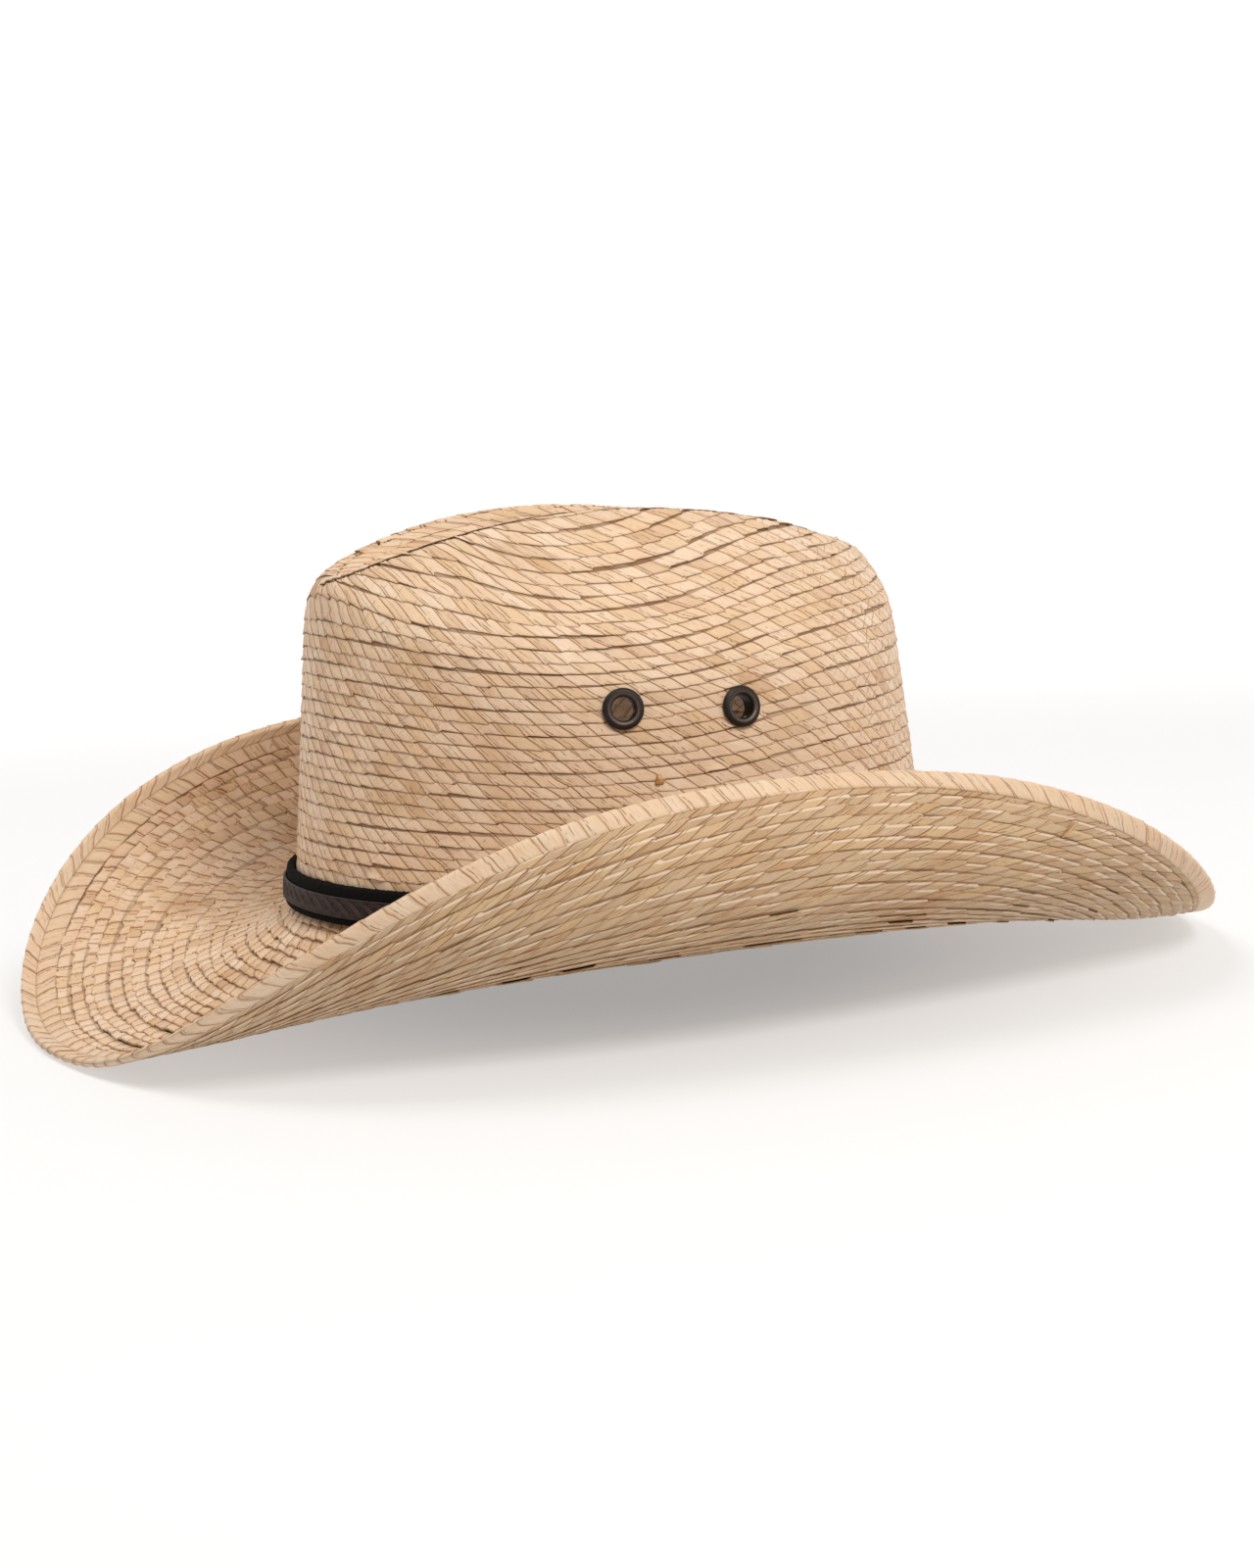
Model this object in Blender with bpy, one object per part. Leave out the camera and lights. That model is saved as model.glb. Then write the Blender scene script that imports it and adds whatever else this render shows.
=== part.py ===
"""Western straw hat: sewn-braid crown and curled brim, folded edge braid over a wire,
sweatband with bow, loose hatband with embossed strip, four vent eyelets with washers.

The wearer faces -Y, the wearer's left is +X and up is +Z.  The hat stands on the
front and back dips of its brim, with the floor at z = 0.
"""
import math

import bpy
import numpy as np

MM = 0.001

# Standing pose: the headline plane (where crown meets brim) leans back a little so
# that both brim dips touch the floor; then it is shifted, in mm, to the row's origin.
STANCE_LEAN = 1.143
HEADLINE_Y = -2.0297
HEADLINE_Z = 28.2327

# Crown oval at the headline: half length, half width, shell thickness.
CROWN_HALF_LENGTH = 101.2
CROWN_HALF_WIDTH = 87.4
CROWN_THICK = 1.5
# How much the wall leans inward per mm of height.
TAPER_FRONT = 0.07
TAPER_BACK = 0.11
TAPER_SIDE = 0.14
# The two long ridges of the crease, seen from above, form one narrow oval.
RIDGE_HALF_WIDTH = 27.0
RIDGE_HALF_LENGTH = 91.5
RIDGE_SHIFT = -2.4
RIDGE_FRONT = 97.8
RIDGE_MIDDLE = 116.2
RIDGE_BACK = 97.7
RIDGE_SKEW = -3.2
CREST_LIFT = 1.3
SHOULDER_SIDE = 56.0
SHOULDER_FRONT = 7.0
SHOULDER_BACK = 10.0
CREASE_DEPTH = 26.0
CREASE_POWER = 1.35
CREST_SOFTEN = 2.3

# Brim, measured along its curved section from the headline to the edge.
BRIM_SIDE_WIDTH = 90.8
BRIM_FRONT_WIDTH = 89.3
BRIM_BACK_WIDTH = 91.5
BRIM_THICK = 1.4
# Slope of the section in degrees, at the crown and at the edge.
SLOPE_CROWN_SIDE = -10.3
SLOPE_CROWN_FRONT = -48.0
SLOPE_CROWN_BACK = -28.0
SLOPE_EDGE_SIDE = 146.0
SLOPE_EDGE_FRONT = -1.6
SLOPE_EDGE_BACK = 5.8
BEND_SIDE = 1.57
BEND_FRONT = 0.62
BEND_BACK = 1.34
CURL_SKEW = 2.3
CURL_FRONT = 1.28
CURL_BACK = 1.78

# Folded edge braid and the wire inside the fold.
EDGE_TOP_WIDTH = 10.7
EDGE_UNDER_WIDTH = 6.0
EDGE_LEG = 0.8
WIRE_RADIUS = 0.65

# Bands at the headline.
SWEATBAND_HEIGHT = 33.0
SWEATBAND_BOTTOM = -3.0
SWEATBAND_THICK = 1.2
HATBAND_HEIGHT = 11.5
HATBAND_THICK = 2.4
HATBAND_OFF_CROWN = 0.5
STRIP_BOTTOM = 2.2
STRIP_TOP = 8.2
STRIP_THICK = 0.8
LAP_ANGLE = 62.0
LAP_LENGTH = 24.0

# Vent eyelets, placed by angle round the crown and distance up the wall.
EYELET_ANGLES = (-20.0, 1.4)
EYELETS_UP_WALL = (62.6, 61.0)
EYELET_RADIUS = 6.0
EYELET_HOLE_RADIUS = 3.4
BARREL_RADIUS = 4.1
WALL_HOLE_RADIUS = 4.45

GAP = 0.3
FOLD_GAP = 0.5
AROUND = 60


def around_angles(count=AROUND):
    """Even steps of the oval angle: 0 is the wearer's left, -90 degrees the front."""
    return -math.pi + 2 * math.pi * np.arange(count) / count


def ridge_height(along):
    """Height of the ridges, along = -1 at the front to +1 at the back."""
    mean = (RIDGE_BACK + RIDGE_FRONT) / 2
    tilt = (RIDGE_BACK - RIDGE_FRONT) / 2 * along
    bow = (mean - RIDGE_MIDDLE) * along ** 2
    return RIDGE_MIDDLE + tilt + bow + RIDGE_SKEW * along * (1 - along ** 2)


def wall_plan(angle, height, offset=0.0):
    """Plan of the crown wall at a height, grown outward by an offset."""
    front = (1 - np.sin(angle)) / 2
    front = front * front * (3 - 2 * front)
    taper = TAPER_FRONT * front + TAPER_BACK * (1 - front)
    x = (CROWN_HALF_WIDTH - TAPER_SIDE * height + offset) * np.cos(angle)
    y = (CROWN_HALF_LENGTH - taper * height + offset) * np.sin(angle)
    return x, y


def crown_raw(angle, q):
    """Crown before softening: q 0..1 wall, 1..2 lean to the ridge, 2..3 crease."""
    sine = np.sin(angle)
    cosine = np.cos(angle)
    ends = np.where(sine < 0, SHOULDER_FRONT, SHOULDER_BACK)
    shoulder = ends + (SHOULDER_SIDE - ends) * np.abs(cosine) ** 1.5
    foot = ridge_height(sine) + CREST_LIFT - shoulder
    lean = np.clip(q - 1, 0, 1)
    z = np.where(q <= 1, foot * np.clip(q, 0, 1), foot + shoulder * lean)
    wall_x, wall_y = wall_plan(angle, z)
    ridge_x = RIDGE_HALF_WIDTH * cosine
    ridge_y = RIDGE_SHIFT + RIDGE_HALF_LENGTH * sine
    share = lean ** 2
    x = wall_x * (1 - share) + ridge_x * share
    y = wall_y * (1 - share) + ridge_y * share
    r = 1 - np.clip(q - 2, 0, 1)
    crease = CREASE_DEPTH * (1 - r * r) ** CREASE_POWER
    inner_z = ridge_height(sine * r) + CREST_LIFT * r - crease
    inside = q > 2
    x = np.where(inside, ridge_x * r, x)
    y = np.where(inside, RIDGE_SHIFT + RIDGE_HALF_LENGTH * sine * r, y)
    z = np.where(inside, inner_z, z)
    return np.stack([x, y, z], -1)


def crown_meridian(angle, samples=441):
    """One section of the crown from headline to centre, softened along its length.

    Returns the points, the running length and the length up to the crest.
    """
    q = np.linspace(0, 3, 601)
    raw = crown_raw(np.full_like(q, angle), q)
    length = np.concatenate([[0.0], np.cumsum(np.linalg.norm(np.diff(raw, axis=0), axis=1))])
    even = np.linspace(0, length[-1], samples)
    points = np.stack([np.interp(even, length, raw[:, k]) for k in range(3)], -1)
    step = even[1]
    reach = int(3 * CREST_SOFTEN / step)
    weights = np.exp(-0.5 * (np.arange(-reach, reach + 1) * step / CREST_SOFTEN) ** 2)
    weights /= weights.sum()
    head = 2 * points[0] - points[reach:0:-1]
    tail = 2 * points[-1] - points[-2:-reach - 2:-1]
    padded = np.concatenate([head, points, tail])
    soft = np.stack([np.convolve(padded[:, k], weights, "valid") for k in range(3)], -1)
    run = np.concatenate([[0.0], np.cumsum(np.linalg.norm(np.diff(soft, axis=0), axis=1))])
    return soft, run, length[400]


def crown_grid():
    """Outer crown surface as rows of points, one row per angle, and its centre point."""
    up = [0, .15, .3, .45, .59, .71, .81, .89, .95, .985]
    down = [0.02, .1, .22, .38, .58, .8]
    rows = []
    for angle in around_angles():
        points, run, crest = crown_meridian(angle)
        stations = [crest * share for share in up]
        stations += [crest + (run[-1] - crest) * share for share in down]
        rows.append(np.stack([np.interp(stations, run, points[:, k]) for k in range(3)], -1))
    centre = np.array([0.0, RIDGE_SHIFT, ridge_height(0.0) - CREASE_DEPTH])
    return np.array(rows), centre


def grid_normals(grid):
    """Unit normals of a grid that closes round its first direction."""
    across = np.roll(grid, -1, axis=0) - np.roll(grid, 1, axis=0)
    along = np.gradient(grid, axis=1)
    normal = np.cross(across, along)
    return normal / np.linalg.norm(normal, axis=2, keepdims=True)


def brim_section(angle):
    """Middle line of the brim at one angle.

    Returns the running length, the points, the unit normals pointing to the upper
    side and the whole length.
    """
    sine, cosine = math.sin(angle), math.cos(angle)
    out = np.array([cosine / CROWN_HALF_WIDTH, sine / CROWN_HALF_LENGTH])
    out /= np.linalg.norm(out)
    facing = math.atan2(out[1], abs(out[0]))
    side = math.cos(facing + math.radians(CURL_SKEW) * math.cos(facing)) ** 2
    front = sine < 0
    curl = side ** (CURL_FRONT if front else CURL_BACK)
    end_width = BRIM_FRONT_WIDTH if front else BRIM_BACK_WIDTH
    width = BRIM_SIDE_WIDTH * side + end_width * (1 - side)
    start = SLOPE_CROWN_FRONT if front else SLOPE_CROWN_BACK
    finish = SLOPE_EDGE_FRONT if front else SLOPE_EDGE_BACK
    start += (SLOPE_CROWN_SIDE - start) * curl
    finish += (SLOPE_EDGE_SIDE - finish) * curl
    bend = (BEND_FRONT if front else BEND_BACK) * (1 - side) + BEND_SIDE * side
    share = np.linspace(0, 1, 201)
    slope = np.radians(start + (finish - start) * share ** bend)
    middle = (slope[1:] + slope[:-1]) / 2
    step = width / 200
    reach = np.concatenate([[0.0], np.cumsum(np.cos(middle))]) * step
    rise = np.concatenate([[0.0], np.cumsum(np.sin(middle))]) * step
    x = CROWN_HALF_WIDTH * cosine + reach * out[0]
    y = CROWN_HALF_LENGTH * sine + reach * out[1]
    points = np.stack([x, y, rise - BRIM_THICK / 2 - GAP], -1)
    normal = np.stack([-np.sin(slope) * out[0], -np.sin(slope) * out[1], np.cos(slope)], -1)
    return share * width, points, normal, width


def brim_loops(section):
    """Sweep a closed section round the brim.

    The section lists (from_edge, offset) pairs in mm, or a fraction of the free width
    when from_edge is positive; offset is measured toward the upper side.
    """
    rows = []
    for angle in around_angles():
        length, points, normal, width = brim_section(angle)
        free = width - EDGE_TOP_WIDTH
        row = []
        for place, offset in section:
            at = width + place if place <= 0 else free * place
            point = [np.interp(at, length, points[:, k]) for k in range(3)]
            side = [np.interp(at, length, normal[:, k]) for k in range(3)]
            row.append(np.array(point) + np.array(side) * offset)
        rows.append(np.array(row))
    return np.array(rows)


def ring_loops(section, angles=None):
    """Sweep (outward offset, height) pairs round the crown wall."""
    rows = []
    for angle in (around_angles() if angles is None else angles):
        row = []
        for offset, height in section:
            x, y = wall_plan(angle, max(height, 0.0), offset)
            row.append((x, y, height))
        rows.append(row)
    return np.array(rows)


def material(name, colour, roughness, metallic=0.0):
    """A plain Principled material."""
    made = bpy.data.materials.new(name)
    made.use_nodes = True
    shader = made.node_tree.nodes["Principled BSDF"]
    shader.inputs["Base Color"].default_value = (*colour, 1.0)
    shader.inputs["Roughness"].default_value = roughness
    shader.inputs["Metallic"].default_value = metallic
    made.diffuse_color = (*colour, 1.0)
    return made


def add_object(name, points, faces, made, smooth=True):
    """Make one mesh object from points in hat mm, leaned and set on the floor."""
    lean = math.radians(STANCE_LEAN)
    x, y, z = np.asarray(points, float).T
    leaned = np.stack([x, y * math.cos(lean) + z * math.sin(lean),
                       z * math.cos(lean) - y * math.sin(lean)], -1)
    mesh = bpy.data.meshes.new(name)
    mesh.from_pydata([tuple(p) for p in leaned * MM], [], [tuple(f) for f in faces])
    mesh.validate()
    mesh.update()
    body = bpy.data.objects.new(name, mesh)
    body.location = (0.0, HEADLINE_Y * MM, HEADLINE_Z * MM)
    bpy.context.scene.collection.objects.link(body)
    mesh.materials.append(made)
    face_outward(body)
    for polygon in mesh.polygons:
        polygon.use_smooth = smooth
    return body


def face_outward(body):
    """Turn the faces of a closed body outward by the sign of its volume."""
    mesh = body.data
    volume = 0.0
    for polygon in mesh.polygons:
        corner = [mesh.vertices[i].co for i in polygon.vertices]
        for k in range(1, len(corner) - 1):
            volume += corner[0].dot(corner[k].cross(corner[k + 1]))
    if volume < 0:
        mesh.flip_normals()


def loop_faces(rows, columns, closed=True):
    """Quads of a grid whose columns wrap; the rows wrap too when closed."""
    faces = []
    for i in range(rows if closed else rows - 1):
        following = (i + 1) % rows
        for j in range(columns):
            beside = (j + 1) % columns
            faces.append((i * columns + j, following * columns + j,
                          following * columns + beside, i * columns + beside))
    return faces


def add_ring(name, grid, made):
    """Closed ring body from a grid that wraps both ways."""
    rows, columns = grid.shape[:2]
    return add_object(name, grid.reshape(-1, 3), loop_faces(rows, columns), made)


def add_bar(name, grid, made, smooth=True):
    """Body from a grid of closed loops with flat ends."""
    rows, columns = grid.shape[:2]
    faces = loop_faces(rows, columns, closed=False)
    faces.append(tuple(range(columns)))
    last = (rows - 1) * columns
    faces.append(tuple(last + j for j in reversed(range(columns))))
    return add_object(name, grid.reshape(-1, 3), faces, made, smooth)


def build_crown(straw):
    """Crown shell: outer and inner skins joined at the headline."""
    outer, top = crown_grid()
    normal = grid_normals(outer)
    inner = outer - normal * CROWN_THICK
    inner[:, 0, 2] = 0.0
    low = outer[:, 0]
    x, y = wall_plan(around_angles(), 0.0, -CROWN_THICK)
    inner[:, 0, 0] = x
    inner[:, 0, 1] = y
    outer[:, 0] = low
    rows, columns = outer.shape[:2]
    points = [top, top - np.array([0.0, 0.0, CROWN_THICK])]
    points += list(outer.reshape(-1, 3)) + list(inner.reshape(-1, 3))
    faces = []
    shift = 2 + rows * columns
    for i in range(rows):
        n = (i + 1) % rows
        for j in range(columns - 1):
            faces.append((2 + i * columns + j, 2 + n * columns + j,
                          2 + n * columns + j + 1, 2 + i * columns + j + 1))
            faces.append((shift + i * columns + j + 1, shift + n * columns + j + 1,
                          shift + n * columns + j, shift + i * columns + j))
        faces.append((2 + i * columns + columns - 1, 2 + n * columns + columns - 1, 0))
        faces.append((shift + n * columns + columns - 1, shift + i * columns + columns - 1, 1))
        faces.append((2 + n * columns, 2 + i * columns, shift + i * columns, shift + n * columns))
    return add_object("crown_braid", points, faces, straw)


def eyelet_places():
    """Centre and outward direction of each eyelet, with its name ending."""
    places = []
    for angle, up_wall, ending in zip(EYELET_ANGLES, EYELETS_UP_WALL, ("front", "back")):
        near = []
        for step in (-1.0, 0.0, 1.0):
            points, run, _ = crown_meridian(math.radians(angle + step))
            near.append([np.interp(up_wall + up, run, points[:, k])
                         for up in (-2.0, 0.0, 2.0) for k in range(3)])
        near = np.array(near).reshape(3, 3, 3)
        centre = near[1, 1]
        outward = np.cross(near[2, 1] - near[0, 1], near[1, 2] - near[1, 0])
        outward /= np.linalg.norm(outward)
        places.append((f"left_{ending}", centre, outward))
        mirror = np.array([-1.0, 1.0, 1.0])
        places.append((f"right_{ending}", centre * mirror, outward * mirror))
    return places


def turned(centre, outward, profile, count):
    """Revolve (radius, height) pairs about an axis; returns a grid of loops."""
    level = np.cross(np.array([0.0, 0.0, 1.0]), outward)
    level /= np.linalg.norm(level)
    upright = np.cross(outward, level)
    rows = []
    for k in range(count):
        turn = 2 * math.pi * k / count
        ray = level * math.cos(turn) + upright * math.sin(turn)
        rows.append([centre + ray * radius + outward * height for radius, height in profile])
    return np.array(rows)


def cut_vents(crown, places):
    """Bore the four vent holes through the crown shell."""
    for ending, centre, outward in places:
        profile = [(WALL_HOLE_RADIUS, -6.0), (WALL_HOLE_RADIUS, 6.0)]
        grid = turned(centre, outward, profile, 20)
        cutter = add_bar(f"cut_{ending}", np.transpose(grid, (1, 0, 2)), crown.data.materials[0])
        cutter.hide_render = True
        cutter.display_type = "WIRE"
        cut = crown.modifiers.new(f"vent_{ending}", "BOOLEAN")
        cut.operation = "DIFFERENCE"
        cut.solver = "EXACT"
        cut.object = cutter


def build_brim(straw):
    """Brim shell from a thin collar under the crown wall out into the edge fold."""
    half = BRIM_THICK / 2
    upper = [0.08, 0.2, 0.34, 0.48, 0.61, 0.73, 0.83, 0.92]
    section = [(share, half) for share in upper]
    section += [(-11.0, half), (-8.0, half), (-5.0, half), (-3.2, half)]
    section += [(-3.2, -half), (-5.0, -half), (-6.2, -half), (-8.0, -half), (-11.0, -half)]
    section += [(share, -half) for share in reversed(upper)]
    grid = brim_loops(section)
    collar = ring_loops([(-0.1, -GAP - BRIM_THICK), (-CROWN_THICK, -GAP - BRIM_THICK),
                         (-CROWN_THICK, -GAP), (0.0, -GAP)])
    return add_ring("brim_braid", np.concatenate([grid, collar], axis=1), straw)


def build_edge(straw, steel):
    """Edge braid folded over the brim edge, and the wire lying inside the fold."""
    inner = BRIM_THICK / 2 + FOLD_GAP
    outer = inner + EDGE_LEG
    top = EDGE_TOP_WIDTH
    under = EDGE_UNDER_WIDTH
    section = [(-top, inner), (-top, outer), (-8.0, outer), (-5.0, outer), (-1.6, outer),
               (-0.4, outer * 0.62), (0.0, 0.0), (-0.4, -outer * 0.62), (-1.6, -outer),
               (-5.0, -outer), (-under, -outer), (-under, -inner), (-5.0, -inner),
               (-0.85, -inner), (-0.85, inner), (-5.0, inner), (-8.0, inner)]
    add_ring("brim_edge_braid", brim_loops(section), straw)
    centre = -(0.85 + GAP + WIRE_RADIUS)
    circle = [(centre + WIRE_RADIUS * math.cos(a), WIRE_RADIUS * math.sin(a))
              for a in np.arange(6) * math.pi / 3]
    add_ring("brim_edge_wire", brim_loops(circle), steel)


def build_sweatband(cloth, ribbon):
    """Sweatband standing inside the crown, and the little bow at its back seam."""
    outside = -(CROWN_THICK + GAP)
    inside = outside - SWEATBAND_THICK
    low = SWEATBAND_BOTTOM
    high = low + SWEATBAND_HEIGHT
    section = [(outside, low), (outside, 0.0), (outside, high),
               (inside, high), (inside, 0.0), (inside, low)]
    add_ring("sweatband", ring_loops(section), cloth)
    build_bow(ribbon, inside - GAP - 0.6)


def build_bow(ribbon, offset):
    """Flat ribbon bow, two loops and two tails cut in one outline."""
    outline = [(0, 1.6), (2, 2.0), (5, 4.0), (9, 4.6), (11, 3.0), (11, 0.6), (9, -0.8),
               (5, -0.6), (2.6, -1.0), (5.5, -6.5), (3.2, -7.2), (0, -1.8)]
    outline += [(-x, z) for x, z in reversed(outline[1:-1])]
    grid = []
    for depth in (0.0, -0.9):
        loop = []
        for across, up in outline:
            height = 10.0 + up
            angle = math.pi / 2 - across / CROWN_HALF_WIDTH
            x, y = wall_plan(angle, height, offset + depth)
            loop.append((x, y, height))
        grid.append(loop)
    add_bar("sweatband_bow", np.array(grid), ribbon, smooth=False)


def build_hatband(felt, leather):
    """Loose band round the foot of the crown; every piece of it lifts off together."""
    inner = HATBAND_OFF_CROWN
    outer = inner + HATBAND_THICK
    top = HATBAND_HEIGHT
    section = [(inner, 0.0), (outer, 0.0),
               (outer, top - 0.6), (outer - 0.6, top), (inner, top)]
    add_ring("hatband_base", ring_loops(section), felt)
    face = outer + GAP
    proud = face + STRIP_THICK
    strip = [(face, STRIP_BOTTOM), (proud - 0.3, STRIP_BOTTOM), (proud, STRIP_BOTTOM + 0.5),
             (proud, STRIP_TOP - 0.5), (proud - 0.3, STRIP_TOP), (face, STRIP_TOP)]
    add_ring("hatband_strip", ring_loops(strip), leather)
    half = LAP_LENGTH / 2 / CROWN_HALF_WIDTH
    lap_in = proud + GAP
    lap = [(lap_in, 0.6), (lap_in + 1.0, 0.6), (lap_in + 1.0, 10.4), (lap_in, 10.4)]
    angles = math.radians(LAP_ANGLE) + np.linspace(-half, half, 7)
    add_bar("hatband_lap", ring_loops(lap, angles), leather, smooth=False)


def build_eyelets(places, bronze):
    """Vent eyelets with rounded lips outside and plain washers inside the crown."""
    lip = [(EYELET_HOLE_RADIUS, -4.2), (EYELET_HOLE_RADIUS, 0.8), (EYELET_HOLE_RADIUS + 0.5, 1.5),
           (EYELET_HOLE_RADIUS + 1.3, 1.8), (EYELET_RADIUS - 0.5, 1.5), (EYELET_RADIUS, 0.9),
           (EYELET_RADIUS, 0.6), (BARREL_RADIUS, 0.6), (BARREL_RADIUS, -4.2)]
    inside = CROWN_THICK + 1.65
    ring = BARREL_RADIUS + GAP
    washer = [(ring, -inside), (ring, -inside - 0.6), (5.9, -inside - 0.6), (5.9, -inside)]
    for ending, centre, outward in places:
        add_ring(f"eyelet_{ending}", turned(centre, outward, lip, 20), bronze)
        add_ring(f"eyelet_washer_{ending}", turned(centre, outward, washer, 16), bronze)


def clear():
    """Start from an empty file."""
    for item in list(bpy.data.objects):
        bpy.data.objects.remove(item, do_unlink=True)


def main():
    """Build every piece of the hat."""
    clear()
    straw = material("palm_straw", (0.74, 0.55, 0.34), 0.62)
    edge_straw = material("edge_straw", (0.78, 0.62, 0.42), 0.6)
    steel = material("wire_steel", (0.45, 0.45, 0.44), 0.35, 1.0)
    cloth = material("sweatband_cloth", (0.12, 0.09, 0.07), 0.75)
    ribbon = material("bow_ribbon", (0.16, 0.11, 0.08), 0.5)
    felt = material("band_black", (0.015, 0.014, 0.013), 0.85)
    leather = material("band_leather", (0.045, 0.028, 0.02), 0.5)
    bronze = material("eyelet_bronze", (0.07, 0.055, 0.05), 0.4, 0.9)
    crown = build_crown(straw)
    places = eyelet_places()
    cut_vents(crown, places)
    build_brim(straw)
    build_edge(edge_straw, steel)
    build_sweatband(cloth, ribbon)
    build_hatband(felt, leather)
    build_eyelets(places, bronze)


main()
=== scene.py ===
"""Western straw hat of sewn palm braid: fine shape and finish of every piece.

Lengths inside the classes are millimetres from the headline, the oval where the crown
meets the brim; Stance turns finished points into metres on the floor.  The wearer faces
-Y and the wearer's left is +X.  Angles run round the oval: 0 is the wearer's left and
minus a quarter turn is the front.
"""
from __future__ import annotations

import logging
import math
from dataclasses import dataclass, field
from enum import Enum

import bpy
import numpy as np
from mathutils import Matrix

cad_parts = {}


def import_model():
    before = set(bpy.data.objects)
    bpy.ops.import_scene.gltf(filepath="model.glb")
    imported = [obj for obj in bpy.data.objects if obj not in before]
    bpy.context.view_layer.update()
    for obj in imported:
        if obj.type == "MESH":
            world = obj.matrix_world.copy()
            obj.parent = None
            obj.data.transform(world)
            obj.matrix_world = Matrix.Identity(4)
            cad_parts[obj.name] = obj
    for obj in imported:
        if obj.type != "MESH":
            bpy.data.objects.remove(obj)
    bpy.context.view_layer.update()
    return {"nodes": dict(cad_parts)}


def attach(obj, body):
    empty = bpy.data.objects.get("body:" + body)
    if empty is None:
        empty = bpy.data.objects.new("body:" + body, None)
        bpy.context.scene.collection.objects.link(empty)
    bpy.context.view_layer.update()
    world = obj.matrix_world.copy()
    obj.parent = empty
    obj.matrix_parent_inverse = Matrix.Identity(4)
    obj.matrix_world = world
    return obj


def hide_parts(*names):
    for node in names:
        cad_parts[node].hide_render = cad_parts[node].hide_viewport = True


LOG = logging.getLogger("straw_hat")
Colour = tuple[float, float, float]
Grids = tuple[np.ndarray, np.ndarray, np.ndarray, np.ndarray]
Strip = tuple[np.ndarray, np.ndarray, np.ndarray, dict[str, np.ndarray]]
TURN = 2 * math.pi


class Body(Enum):
    """The two bodies that pieces ride on."""

    HAT = "hat"
    BAND = "hatband"


class Slot(Enum):
    """Material slots of the record."""

    STRAW = "palm_straw"
    EDGE = "edge_straw"
    CLOTH = "sweatband_cloth"
    RIBBON = "bow_ribbon"
    FELT = "band_black"
    LEATHER = "band_leather"
    BRONZE = "eyelet_bronze"


# ---------------------------------------------------------------- placing and meshes


@dataclass(frozen=True)
class Stance:
    """How the hat stands: a small backward lean, then a shift onto the floor."""

    lean: float = math.radians(1.143)
    shift_y: float = -2.0297
    shift_z: float = 28.2327

    def turn(self, vectors: np.ndarray) -> np.ndarray:
        """Lean directions about X: y' = y cos + z sin, z' = z cos - y sin.

        Args:
            vectors: directions, with a last axis of x, y, z.

        Returns:
            The leaned directions.
        """
        x, y, z = np.moveaxis(np.asarray(vectors, float), -1, 0)
        cosine, sine = math.cos(self.lean), math.sin(self.lean)
        return np.stack([x, y * cosine + z * sine, z * cosine - y * sine], -1)

    def place(self, points: np.ndarray) -> np.ndarray:
        """Headline millimetres to metres on the floor."""
        return (self.turn(points) + [0.0, self.shift_y, self.shift_z]) * 0.001


STANCE = Stance()


def smooth(value: np.ndarray, low: float, high: float) -> np.ndarray:
    """Ramp from 0 at low to 1 at high with level ends: 3t^2 - 2t^3."""
    t = np.clip((value - low) / (high - low), 0, 1)
    return t * t * (3 - 2 * t)


def chance(number: np.ndarray, salt: float = 0.0) -> np.ndarray:
    """Repeatable scatter in 0..1: the fraction of a large multiple of a sine."""
    wide = np.sin(np.floor(number) * 12.9898 + salt * 78.233) * 43758.5453
    return wide - np.floor(wide)


def grid_faces(rows: int, columns: int, wrap_rows: bool = False,
               wrap_columns: bool = False) -> np.ndarray:
    """Quads of a grid of points numbered row by row.

    Args:
        rows: number of points along the first direction.
        columns: number of points along the second direction.
        wrap_rows: join the last row to the first.
        wrap_columns: join the last column to the first.

    Returns:
        One row of four point numbers for each quad.
    """
    i = np.arange(rows if wrap_rows else rows - 1)[:, None]
    j = np.arange(columns if wrap_columns else columns - 1)[None, :]
    following = (i + 1) % rows
    beside = (j + 1) % columns
    quads = np.stack([i * columns + j, following * columns + j,
                      following * columns + beside, i * columns + beside], -1)
    return quads.reshape(-1, 4)


def ball(rings: int, around: int) -> tuple[np.ndarray, np.ndarray, np.ndarray]:
    """Grid of a ball, from one pole to the other.

    Args:
        rings: number of rings, poles included.
        around: number of points in each ring.

    Returns:
        Angle from the pole, angle round the axis and unit points.
    """
    v, w = np.meshgrid(np.linspace(0, math.pi, rings),
                       np.linspace(0, TURN, around, endpoint=False), indexing="ij")
    return v, w, np.stack([np.sin(v) * np.cos(w), np.sin(v) * np.sin(w), np.cos(v)], -1)


def beside(outward: np.ndarray) -> tuple[np.ndarray, np.ndarray]:
    """Two directions square to an outward one.

    Args:
        outward: unit direction off the wall.

    Returns:
        The level direction and the one that points most nearly up.
    """
    level = np.cross([0.0, 0.0, 1.0], outward)
    level /= np.linalg.norm(level)
    return level, np.cross(outward, level)


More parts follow.
